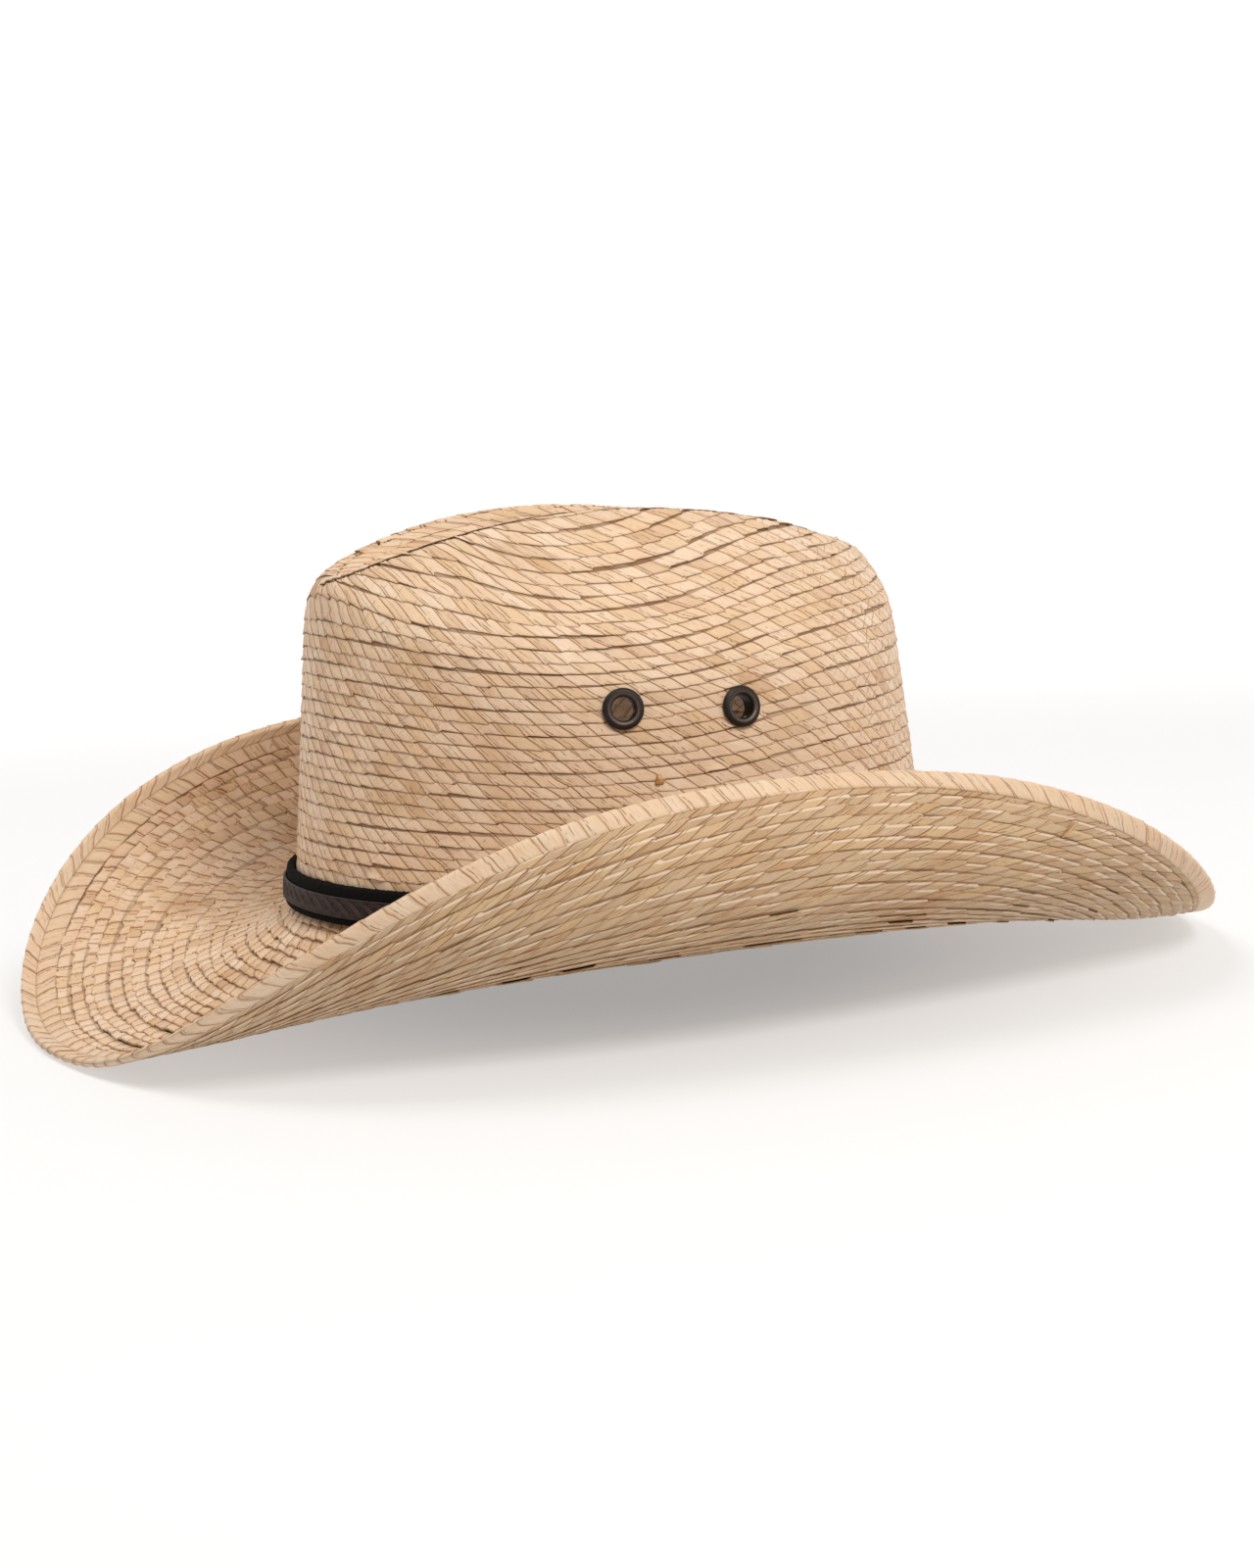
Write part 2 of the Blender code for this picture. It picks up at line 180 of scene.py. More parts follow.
@dataclass
class Piece:
    """One named mesh of the hat with the values its material reads."""

    name: str
    points: np.ndarray
    faces: np.ndarray
    finish: bpy.types.Material
    slot: Slot
    body: Body = Body.HAT
    replaces: tuple[str, ...] = ()
    values: dict[str, np.ndarray] = field(default_factory=dict)
    outward: np.ndarray | None = None
    caps: tuple[tuple[int, ...], ...] = ()

    def add(self) -> bpy.types.Object:
        """Put the piece into the scene, facing outward and riding on its body.

        Returns:
            The new object, at the origin with its place in its mesh.
        """
        points, faces, outward = self.points, self.faces, self.outward
        used = np.arange(len(points)) if self.caps else np.unique(faces)
        renumber = np.zeros(len(points), int)
        renumber[used] = np.arange(len(used))
        faces = renumber[faces]
        points = points[used]
        corners = points[faces]
        normal = np.cross(corners[:, 2] - corners[:, 0], corners[:, 3] - corners[:, 1])
        if outward is None:
            signed = np.einsum("ij,ij->i", corners.mean(1) - points.mean(0), normal).sum()
        else:
            signed = np.einsum("ij,ij->i", outward[used][faces[:, 0]], normal).sum()
        caps = [tuple(int(renumber[k]) for k in cap) for cap in self.caps]
        if signed < 0:
            faces = faces[:, ::-1]
            caps = [cap[::-1] for cap in caps]
        mesh = bpy.data.meshes.new(self.name)
        sizes = [4] * len(faces) + [len(cap) for cap in caps]
        order = np.concatenate([faces.ravel()] + [np.array(cap, int) for cap in caps])
        mesh.vertices.add(len(points))
        mesh.vertices.foreach_set("co", STANCE.place(points).astype(np.float32).ravel())
        mesh.loops.add(len(order))
        mesh.loops.foreach_set("vertex_index", order.astype(np.int32))
        mesh.polygons.add(len(sizes))
        starts = np.concatenate([[0], np.cumsum(sizes)[:-1]])
        mesh.polygons.foreach_set("loop_start", starts.astype(np.int32))
        mesh.polygons.foreach_set("use_smooth", np.full(len(sizes), True))
        mesh.update(calc_edges=True)
        for key, value in self.values.items():
            layer = mesh.attributes.new(key, "FLOAT_VECTOR", "POINT")
            layer.data.foreach_set("vector", value[used].astype(np.float32).ravel())
        made = bpy.data.objects.new(self.name, mesh)
        bpy.context.scene.collection.objects.link(made)
        mesh.materials.append(self.finish)
        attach(made, self.body.value)
        if self.replaces:
            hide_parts(*self.replaces)
        LOG.info("%s: %d faces", self.name, len(sizes))
        return made


# ---------------------------------------------------------------- shapes of the hat


@dataclass(frozen=True)
class Skin:
    """A surface known on a grid of angle and level, read between its points."""

    points: np.ndarray
    normals: np.ndarray
    low: float
    high: float

    @classmethod
    def from_grid(cls, points: np.ndarray, low: float, high: float, flip: bool = False) -> "Skin":
        """Work the normals out from the grid: across the angle times across the level.

        Args:
            points: angles by levels by 3, the first angle repeated as the last.
            low: level of the first column.
            high: level of the last column.
            flip: turn the normals to the other side.

        Returns:
            The skin.
        """
        ring = points[:-1]
        across = np.roll(ring, -2, axis=0) - np.roll(ring, 2, axis=0)
        along = np.zeros_like(ring)
        along[:, 3:-3] = ring[:, 6:] - ring[:, :-6]
        along[:, :3] = along[:, 3:4]
        along[:, -3:] = along[:, -4:-3]
        normal = np.cross(across, along)
        normal /= np.linalg.norm(normal, axis=2, keepdims=True) + 1e-9
        normal = np.concatenate([normal, normal[:1]])
        return cls(points, -normal if flip else normal, low, high)

    def at(self, angle: np.ndarray, level: np.ndarray) -> tuple[np.ndarray, np.ndarray]:
        """Point and unit normal at any angle and level, mixed from the four nearest.

        Args:
            angle: angles round the oval, in radians.
            level: levels, held between low and high.

        Returns:
            Points and unit normals.
        """
        rows, columns = self.points.shape[:2]
        a = (angle + math.pi) / TURN % 1.0 * (rows - 1)
        b = np.clip((level - self.low) / (self.high - self.low), 0, 1) * (columns - 1)
        i = np.minimum(a.astype(int), rows - 2)
        j = np.minimum(b.astype(int), columns - 2)
        f, g = (a - i)[..., None], (b - j)[..., None]
        out = []
        for grid in (self.points, self.normals):
            near = grid[i, j] * (1 - f) + grid[i + 1, j] * f
            far = grid[i, j + 1] * (1 - f) + grid[i + 1, j + 1] * f
            out.append(near * (1 - g) + far * g)
        return out[0], out[1] / (np.linalg.norm(out[1], axis=-1, keepdims=True) + 1e-9)


@dataclass(frozen=True)
class CrownForm:
    """Oval wall leaning in to two long ridges, with one crease between them."""

    half_length: float = 101.2
    half_width: float = 87.4
    taper_front: float = 0.07
    taper_back: float = 0.11
    taper_side: float = 0.14
    ridge_half_width: float = 27.0
    ridge_half_length: float = 91.5
    ridge_shift: float = -2.4
    ridge_front: float = 97.8
    ridge_middle: float = 116.2
    ridge_back: float = 97.7
    ridge_skew: float = -3.2
    crest_lift: float = 1.3
    shoulder_side: float = 56.0
    shoulder_front: float = 7.0
    shoulder_back: float = 10.0
    crease_depth: float = 26.0
    crease_power: float = 1.35
    soften: float = 2.3
    row_pitch: float = 3.45
    row_growth: float = 0.059
    even_rows_to: float = 72.0
    wall_rows: float = 41.0
    first_row: float = -0.3
    foot: float = 1.0
    top_rows: float = 13.0
    top_start: float = -0.3
    top_angle: float = -math.pi / 2

    def plan(self, angle: np.ndarray, height: np.ndarray, offset: float = 0.0) -> np.ndarray:
        """Plan of the wall at a height, grown outward by an offset.

        Args:
            angle: angles round the oval.
            height: heights above the headline.
            offset: distance outward from the wall.

        Returns:
            Points in headline millimetres.
        """
        front = (1 - np.sin(angle)) / 2
        front = front * front * (3 - 2 * front)
        taper = self.taper_front * front + self.taper_back * (1 - front)
        x = (self.half_width - self.taper_side * height + offset) * np.cos(angle)
        y = (self.half_length - taper * height + offset) * np.sin(angle)
        return np.stack(np.broadcast_arrays(x, y, height), -1)

    def ring(self, angle: np.ndarray, offset: np.ndarray, height: np.ndarray) -> np.ndarray:
        """Points off the wall by an offset at a height, upright below the headline.

        Args:
            angle: angles round the oval.
            offset: distances outward from the wall.
            height: heights above the headline.

        Returns:
            Points in headline millimetres.
        """
        points = self.plan(angle, np.maximum(height, 0.0), offset)
        points[..., 2] = height
        return points

    def ridge(self, along: np.ndarray) -> np.ndarray:
        """Ridge height: a tilt, a bow and a small skew, from -1 front to +1 back.

        Args:
            along: place along the ridge.

        Returns:
            Heights above the headline.
        """
        mean = (self.ridge_back + self.ridge_front) / 2
        tilt = (self.ridge_back - self.ridge_front) / 2 * along
        bow = (mean - self.ridge_middle) * along ** 2
        return self.ridge_middle + tilt + bow + self.ridge_skew * along * (1 - along ** 2)

    def sharp(self, angle: np.ndarray, q: np.ndarray) -> np.ndarray:
        """Crown before softening: q 0..1 wall, 1..2 lean to the ridge, 2..3 crease.

        Args:
            angle: angles round the oval.
            q: place along each section.

        Returns:
            Points in headline millimetres.
        """
        sine, cosine = np.sin(angle), np.cos(angle)
        ends = np.where(sine < 0, self.shoulder_front, self.shoulder_back)
        shoulder = ends + (self.shoulder_side - ends) * np.abs(cosine) ** 1.5
        foot = self.ridge(sine) + self.crest_lift - shoulder
        lean = np.clip(q - 1, 0, 1)
        z = np.where(q <= 1, foot * np.clip(q, 0, 1), foot + shoulder * lean)
        wall = self.plan(angle, z)
        rim_x = self.ridge_half_width * cosine
        rim_y = self.ridge_shift + self.ridge_half_length * sine
        x = wall[..., 0] * (1 - lean ** 2) + rim_x * lean ** 2
        y = wall[..., 1] * (1 - lean ** 2) + rim_y * lean ** 2
        r = 1 - np.clip(q - 2, 0, 1)
        drop = self.crease_depth * (1 - r * r) ** self.crease_power
        inner = self.ridge(sine * r) + self.crest_lift * r - drop
        inside = q > 2
        x = np.where(inside, rim_x * r, x)
        y = np.where(inside, self.ridge_shift + self.ridge_half_length * sine * r, y)
        return np.stack([x, y, np.where(inside, inner, z)], -1)

    def meridians(self, angles: np.ndarray) -> tuple[np.ndarray, np.ndarray, np.ndarray]:
        """Sections from headline to centre, softened along their length by a bell curve.

        Args:
            angles: the angles of the sections.

        Returns:
            Points, running lengths and the length up to the crest of each section.
        """
        q = np.linspace(0, 3, 601)
        points, runs, crests = [], [], []
        for angle in angles:
            raw = self.sharp(np.full_like(q, angle), q)
            length = np.append(0, np.cumsum(np.linalg.norm(np.diff(raw, axis=0), axis=1)))
            even = np.linspace(0, length[-1], 441)
            line = np.stack([np.interp(even, length, raw[:, k]) for k in range(3)], -1)
            reach = int(3 * self.soften / even[1])
            bell = np.exp(-0.5 * (np.arange(-reach, reach + 1) * even[1] / self.soften) ** 2)
            bell /= bell.sum()
            line = np.concatenate([2 * line[0] - line[reach:0:-1], line,
                                   2 * line[-1] - line[-2:-reach - 2:-1]])
            soft = np.stack([np.convolve(line[:, k], bell, "valid") for k in range(3)], -1)
            points.append(soft)
            runs.append(np.append(0, np.cumsum(np.linalg.norm(np.diff(soft, axis=0), axis=1))))
            crests.append(length[400])
        return np.array(points), np.array(runs), np.array(crests)

    def row_number(self, climb: np.ndarray) -> np.ndarray:
        """Rows below a climb on the reference section: even, then slowly widening.

        Args:
            climb: distance up the reference section.

        Returns:
            Row numbers, with their parts after the point.
        """
        even = np.minimum(climb, self.even_rows_to) / self.row_pitch
        extra = np.maximum(climb - self.even_rows_to, 0)
        return even + np.log1p(self.row_growth * extra / self.row_pitch) / self.row_growth

    def rows(self, angles: np.ndarray, run: np.ndarray) -> np.ndarray:
        """Row number at every point of the sections.

        The rows hang lowest at the side, just before the middle, and climb toward the
        back by a step and toward the front by a square; the climb grows with height.

        Args:
            angles: the angles of the sections.
            run: running length at the points of each section.

        Returns:
            Row numbers, which never fall along a section.
        """
        sine = np.sin(angles)[:, None]
        climb = 5.4 * (1 + np.tanh(3 * (sine - 0.08))) + 14 * np.clip(-sine - 0.35, 0, 1) ** 2
        growth = np.where(run < 65, run / 65, 1 + 0.02 * (run - 65))
        steep = np.minimum((np.clip(-sine - 0.34, 0, 1) / 0.3) ** 2, 1.2)
        lifted = run - climb * growth - 8.0 * np.clip((run - 88) / 25, 0, 2) * steep
        return self.row_number(np.maximum.accumulate(lifted + 1e-4 * run, axis=1))

    def skins(self, offset: float = 0.0, flip: bool = False) -> tuple[Skin, Skin, np.ndarray]:
        """The wall read by its rows, and the top by rows that follow the ridges.

        The first row of the top starts a little below the ridge at the front and laps
        over the wall's rows, which sink under it and stop; its free edge moves inward
        by one row in its first turn.

        Args:
            offset: shift along the outward normal.
            flip: face the other way, as the inside of the crown does.

        Returns:
            Wall skin, top skin and the last wall row at each whole degree.
        """
        angles = np.linspace(-math.pi, math.pi, 361)
        points, run, crest = self.meridians(angles)
        rows = self.rows(angles, run)
        pitch = (run[:, -1] - crest) / self.top_rows
        lap = (self.top_start + (angles - self.top_angle) / TURN % 1.0) * pitch
        stop = np.array([np.interp(c, r, n) for c, r, n in
                         zip(crest + lap + np.maximum(1.2, 0.3 * pitch), run, rows)])
        foot = points[:, :1] - [0.0, 0.0, self.foot]
        points = np.concatenate([foot, points], axis=1)
        run = np.concatenate([run[:, :1] - self.foot, run], axis=1)
        rows = np.concatenate([rows[:, :1] + self.first_row, rows], axis=1)
        levels = np.linspace(self.first_row, self.wall_rows, 1240)
        inner = np.linspace(-1.0, self.top_rows, 421)
        grids = [np.array([[np.interp(levels, r, p[:, k]) for k in range(3)]
                           for r, p in zip(rows, points)]),
                 np.array([[np.interp(inner, (r - c) / w, p[:, k]) for k in range(3)]
                           for r, c, w, p in zip(run, crest, pitch, points)])]
        along = np.array([np.interp(levels, n, r) for n, r in zip(rows, run)])
        under = smooth(along - (crest + lap)[:, None], -1.8, -0.2) * 0.5
        skins = []
        spans = ((self.first_row, self.wall_rows), (-1.0, self.top_rows))
        for grid, ends, sink in zip(grids, spans, (under, 0.0 * under[:, :421])):
            plain = Skin.from_grid(grid.transpose(0, 2, 1), *ends)
            facing = plain.normals * (-1 if flip else 1)
            moved = plain.points + plain.normals * offset - facing * sink[..., None]
            skins.append(Skin(moved, facing, *ends))
        return skins[0], skins[1], stop

    def on_wall(self, angle: float, climb: float) -> tuple[np.ndarray, np.ndarray]:
        """Point and outward direction at an angle and a distance up the wall.

        Args:
            angle: angle round the oval.
            climb: distance up the wall from the headline.

        Returns:
            The point and the unit outward direction.
        """
        near = []
        for step in (-1.0, 0.0, 1.0):
            points, run, _ = self.meridians(np.array([angle + math.radians(step)]))
            near.append([[np.interp(climb + up, run[0], points[0][:, k]) for k in range(3)]
                         for up in (-2.0, 0.0, 2.0)])
        grid = np.array(near)
        outward = np.cross(grid[2, 1] - grid[0, 1], grid[1, 2] - grid[1, 0])
        return grid[1, 1], outward / np.linalg.norm(outward)


@dataclass(frozen=True)
class BrimForm:
    """Brim swept round the oval; each section bends from a dip up into the side curl."""

    crown: CrownForm = CrownForm()
    side_width: float = 90.8
    front_width: float = 89.3
    back_width: float = 91.5
    slope_crown: Colour = (-10.3, -48.0, -28.0)
    slope_edge: Colour = (146.0, -1.6, 5.8)
    bend: Colour = (1.57, 0.62, 1.34)
    curl_skew: float = 2.3
    curl_front: float = 1.28
    curl_back: float = 1.78
    thick: float = 1.4
    drop: float = 1.0
    margins: tuple[float, float] = (10.4, 5.0)
    rows_across: tuple[float, float] = (19.7, 24.6)
    row_crowding: float = 0.16

    def sections(self, angles: np.ndarray) -> Grids:
        """Middle line of the brim at each angle.

        The slope runs from its value at the crown to its value at the edge by a power
        of the distance; side, front and back values are blended by how far the section
        faces sideways.

        Args:
            angles: the angles of the sections.

        Returns:
            Points, upper normals, the whole width and how far each faces sideways.
        """
        sine, cosine = np.sin(angles), np.cos(angles)
        out = np.stack([cosine / self.crown.half_width, sine / self.crown.half_length], -1)
        out /= np.linalg.norm(out, axis=1, keepdims=True)
        facing = np.arctan2(out[:, 1], np.abs(out[:, 0]))
        side = np.cos(facing + math.radians(self.curl_skew) * np.cos(facing)) ** 2
        front = sine < 0
        curl = side ** np.where(front, self.curl_front, self.curl_back)
        width = self.side_width * side
        width = width + np.where(front, self.front_width, self.back_width) * (1 - side)
        start = np.where(front, self.slope_crown[1], self.slope_crown[2])
        finish = np.where(front, self.slope_edge[1], self.slope_edge[2])
        start = start + (self.slope_crown[0] - start) * curl
        finish = finish + (self.slope_edge[0] - finish) * curl
        bend = np.where(front, self.bend[1], self.bend[2]) * (1 - side) + self.bend[0] * side
        share = np.linspace(0, 1, 401)
        slope = np.radians(start[:, None] + (finish - start)[:, None] * share ** bend[:, None])
        middle = (slope[:, 1:] + slope[:, :-1]) / 2
        step = width[:, None] / 400
        reach = np.pad(np.cumsum(np.cos(middle), 1), ((0, 0), (1, 0))) * step
        rise = np.pad(np.cumsum(np.sin(middle), 1), ((0, 0), (1, 0))) * step
        x = self.crown.half_width * cosine[:, None] + reach * out[:, :1]
        y = self.crown.half_length * sine[:, None] + reach * out[:, 1:]
        points = np.stack([x, y, rise - self.drop], -1)
        normals = np.stack([-np.sin(slope) * out[:, :1], -np.sin(slope) * out[:, 1:],
                            np.cos(slope)], -1)
        return points, normals, width, side

    def skin(self, upper: bool) -> Skin:
        """Top or underside read by row number, counted outward from the headline.

        At the sides the rows stand closer toward the edge and wider near the crown.

        Args:
            upper: the top side, or else the underside.

        Returns:
            The skin, whose levels are row numbers.
        """
        angles = np.linspace(-math.pi, math.pi, 361)
        points, normals, width, side = self.sections(angles)
        margin, rows = self.margins[not upper], self.rows_across[not upper]
        levels = np.linspace(-0.5, rows + 1.0, 801)
        t = levels / rows
        warp = self.row_crowding * side[:, None] * np.sin(math.pi * t) / math.pi
        share = (t + np.where(t > 0, warp, 0)) * ((width - margin) / width)[:, None]
        slots = np.linspace(0, 1, 401)
        shifted, turned = [], []
        for p, n, s, w in zip(points, normals, share, width):
            spot = np.stack([np.interp(s, slots, p[:, k]) for k in range(3)], -1)
            inward = (p[0] - p[1]) / np.linalg.norm(p[0] - p[1])
            shifted.append(spot + inward * np.maximum(-s, 0)[:, None] * w)
            turned.append(np.stack([np.interp(s, slots, n[:, k]) for k in range(3)], -1))
        sign = 1.0 if upper else -1.0
        face = np.array(turned) * sign
        grid = np.array(shifted) + face * (self.thick / 2)
        return Skin(grid, face, -0.5, rows + 1.0)

    def edge_skin(self) -> Skin:
        """Middle line of the brim by the distance in from its edge, upper normals.

        Returns:
            The skin, whose levels are millimetres: 0 at the edge, negative inward.
        """
        angles = np.linspace(-math.pi, math.pi, 361)
        points, normals, width, _ = self.sections(angles)
        reach = np.linspace(-14.0, 0.0, 141)
        slots = np.linspace(0, 1, 401)
        grid, face = [], []
        for p, n, w in zip(points, normals, width):
            grid.append(np.stack([np.interp(1 + reach / w, slots, p[:, k]) for k in range(3)], -1))
            face.append(np.stack([np.interp(1 + reach / w, slots, n[:, k]) for k in range(3)], -1))
        return Skin(np.array(grid), np.array(face), -14.0, 0.0)


# ---------------------------------------------------------------- shader arithmetic


class Value:
    """A number running through a material; arithmetic on it adds Math nodes."""

    def __init__(self, tree: "Tree", socket: bpy.types.NodeSocket) -> None:
        """Wrap one output socket."""
        self.tree = tree
        self.socket = socket

    def math(self, operation: str, *others: "Value | float") -> "Value":
        """This value first, then the others, through one Math node."""
        return self.tree.math(operation, self, *others)

    def __add__(self, other: "Value | float") -> "Value":
        """Sum."""
        return self.math("ADD", other)

    __radd__ = __add__

    def __mul__(self, other: "Value | float") -> "Value":
        """Product."""
        return self.math("MULTIPLY", other)

    __rmul__ = __mul__

    def __sub__(self, other: "Value | float") -> "Value":
        """Difference."""
        return self.math("SUBTRACT", other)

    def __rsub__(self, other: float) -> "Value":
        """Difference from a plain number."""
        return self.tree.math("SUBTRACT", other, self)

    def floor(self) -> "Value":
        """Whole part."""
        return self.math("FLOOR")

    def fract(self) -> "Value":
        """Part after the point."""
        return self.math("FRACT")

    def abs(self) -> "Value":
        """Size without sign."""
        return self.math("ABSOLUTE")

    def top(self, other: "Value | float") -> "Value":
        """The greater of two."""
        return self.math("MAXIMUM", other)

    def low(self, other: "Value | float") -> "Value":
        """The smaller of two."""
        return self.math("MINIMUM", other)

    def ramp(self, start: float, end: float) -> "Value":
        """0 at start to 1 at end with level ends; end may be below start.

        Args:
            start: value that gives 0.
            end: value that gives 1.

        Returns:
            The ramp.
        """
        node = self.tree.add("ShaderNodeMapRange", {"interpolation_type": "SMOOTHSTEP"},
                             {"Value": self, "From Min": start, "From Max": end})
        return Value(self.tree, node.outputs["Result"])

    def line(self, centre: "Value | float", width: float) -> "Value":
        """A thin line: 1 within a third of the width of the centre, then fading."""
        return (self - centre).abs().ramp(width, width * 0.35)


class Tree:
    """The nodes of one material, with a Principled shader at the end."""

    def __init__(self, name: str, **constants: float | Colour) -> None:
        """Start a material and set the shader's constant sockets.

        Args:
            name: name of the material.
            constants: socket names, with _ for a space, and their values.
        """
        self.material = bpy.data.materials.new(name)
        self.material.use_nodes = True
        self.nodes = self.material.node_tree.nodes
        self.links = self.material.node_tree.links
        self.shader = self.nodes["Principled BSDF"]
        for key, value in constants.items():
            self.put(self.shader.inputs[key.replace("_", " ")], value)

    def put(self, socket: bpy.types.NodeSocket, value: object) -> None:
        """Link a value or a node's first output to a socket, or set its constant.

        Args:
            socket: input to feed.
            value: value, node, output socket or constant.
        """
        if isinstance(value, Value):
            self.links.new(value.socket, socket)
        elif isinstance(value, bpy.types.Node):
            self.links.new(value.outputs[0], socket)
        elif isinstance(value, bpy.types.NodeSocket):
            self.links.new(value, socket)
        elif isinstance(value, tuple) and socket.type == "RGBA":
            socket.default_value = (*value, 1.0)
        else:
            socket.default_value = value

    def add(self, kind: str, settings: dict | None = None,
            inputs: dict | None = None) -> bpy.types.Node:
        """Add one node.

        Args:
            kind: node type.
            settings: attributes of the node, set first.
            inputs: socket names or numbers with their values or links.

        Returns:
            The node.
        """
        node = self.nodes.new(kind)
        for key, value in (settings or {}).items():
            setattr(node, key, value)
        for key, value in (inputs or {}).items():
            self.put(node.inputs[key], value)
        return node

    def math(self, operation: str, *terms: Value | float) -> Value:
        """One Math node on the given terms."""
        node = self.add("ShaderNodeMath", {"operation": operation}, dict(enumerate(terms)))
        return Value(self, node.outputs[0])

    def split(self, vector: object) -> tuple[Value, Value, Value]:
        """The three parts of a vector or colour."""
        node = self.add("ShaderNodeSeparateXYZ", None, {0: vector})
        return tuple(Value(self, node.outputs[k]) for k in range(3))

    def join(self, x: Value | float, y: Value | float, z: Value | float) -> bpy.types.Node:
        """A vector from three parts."""
        return self.add("ShaderNodeCombineXYZ", None, {0: x, 1: y, 2: z})

    def attribute(self, name: str) -> tuple[Value, Value, Value]:
        """The three parts of a value stored on the mesh."""
        node = self.add("ShaderNodeAttribute", {"attribute_name": name})
        return self.split(node.outputs["Vector"])

    def place(self) -> bpy.types.NodeSocket:
        """Object coordinates, in metres."""
        return self.add("ShaderNodeTexCoord").outputs["Object"]

    def noise(self, vector: object, scale: float, detail: float = 2.0,
              rough: float = 0.55) -> Value:
        """Soft noise in 0..1 about a half.

        Args:
            vector: place that the noise reads.
            scale: cells in each unit of the place.
            detail: octaves.
            rough: weight of the finer octaves.

        Returns:
            The noise.
        """
        node = self.add("ShaderNodeTexNoise", None, {"Vector": vector, "Scale": scale,
                                                     "Detail": detail, "Roughness": rough})
        return Value(self, node.outputs[0])

    def chances(self, number: Value) -> tuple[Value, Value, Value]:
        """Three even scatters in 0..1 that stay the same for the same number."""
        node = self.add("ShaderNodeTexWhiteNoise", {"noise_dimensions": "1D"}, {"W": number})
        return self.split(node.outputs["Color"])

    def mix(self, first: object, second: object, share: Value | float,
            blend: str = "MIX") -> bpy.types.NodeSocket:
        """Blend of two colours.

        Args:
            first: colour at share 0.
            second: colour at share 1.
            share: share of the second.
            blend: blend type of the node.

        Returns:
            Output socket of the blend.
        """
        node = self.add("ShaderNodeMix", {"data_type": "RGBA", "blend_type": blend},
                        {0: share, 6: first, 7: second})
        return node.outputs[2]

    def finish(self, colour: object, roughness: Value | float, height: Value | None = None,
               strength: float = 0.6, distance: float = 0.0004) -> bpy.types.Material:
        """Feed the shader and give the material back.

        Args:
            colour: link or constant for the base colour.
            roughness: link or constant for the roughness.
            height: relief for a Bump node, or nothing.
            strength: strength of the bump.
            distance: depth in metres of a relief from 0 to 1.

        Returns:
            The material.
        """
        self.put(self.shader.inputs["Base Color"], colour)
        self.put(self.shader.inputs["Roughness"], roughness)
        if height is not None:
            bump = self.add("ShaderNodeBump", None, {"Strength": strength, "Distance": distance,
                                                     "Height": height})
            self.put(self.shader.inputs["Normal"], bump)
        return self.material


# ---------------------------------------------------------------- finishes


@dataclass(frozen=True)
class Leaf:
    """Where a point of the braid lies on its leaf, and the leaf's own chances."""

    slanted: Value
    run: Value
    row: Value
    across: Value
    number: Value
    along: Value
    chances: tuple[Value, ...]

    @classmethod
    def at(cls, tree: Tree, slanted: Value, run: Value, seed: float) -> "Leaf":
        """Part the stored values into leaf, row and places within them.

        Args:
            tree: material being built.
            slanted: leaf coordinate.
            run: place across the rows.
            seed: shift of the chances.

        Returns:
            The leaf.
        """
        row, number = run.floor(), slanted.floor()
        chances = (tree.chances(number + row * 31.7 + seed)
                   + tree.chances(number * 1.618 + row * 7.3 + seed + 5.1))
        return cls(slanted, run, row, run - row, number, slanted - number, chances)

    def side(self) -> Value:
        """Distance to the nearer side of the leaf."""
        return self.along.low(1.0 - self.along)


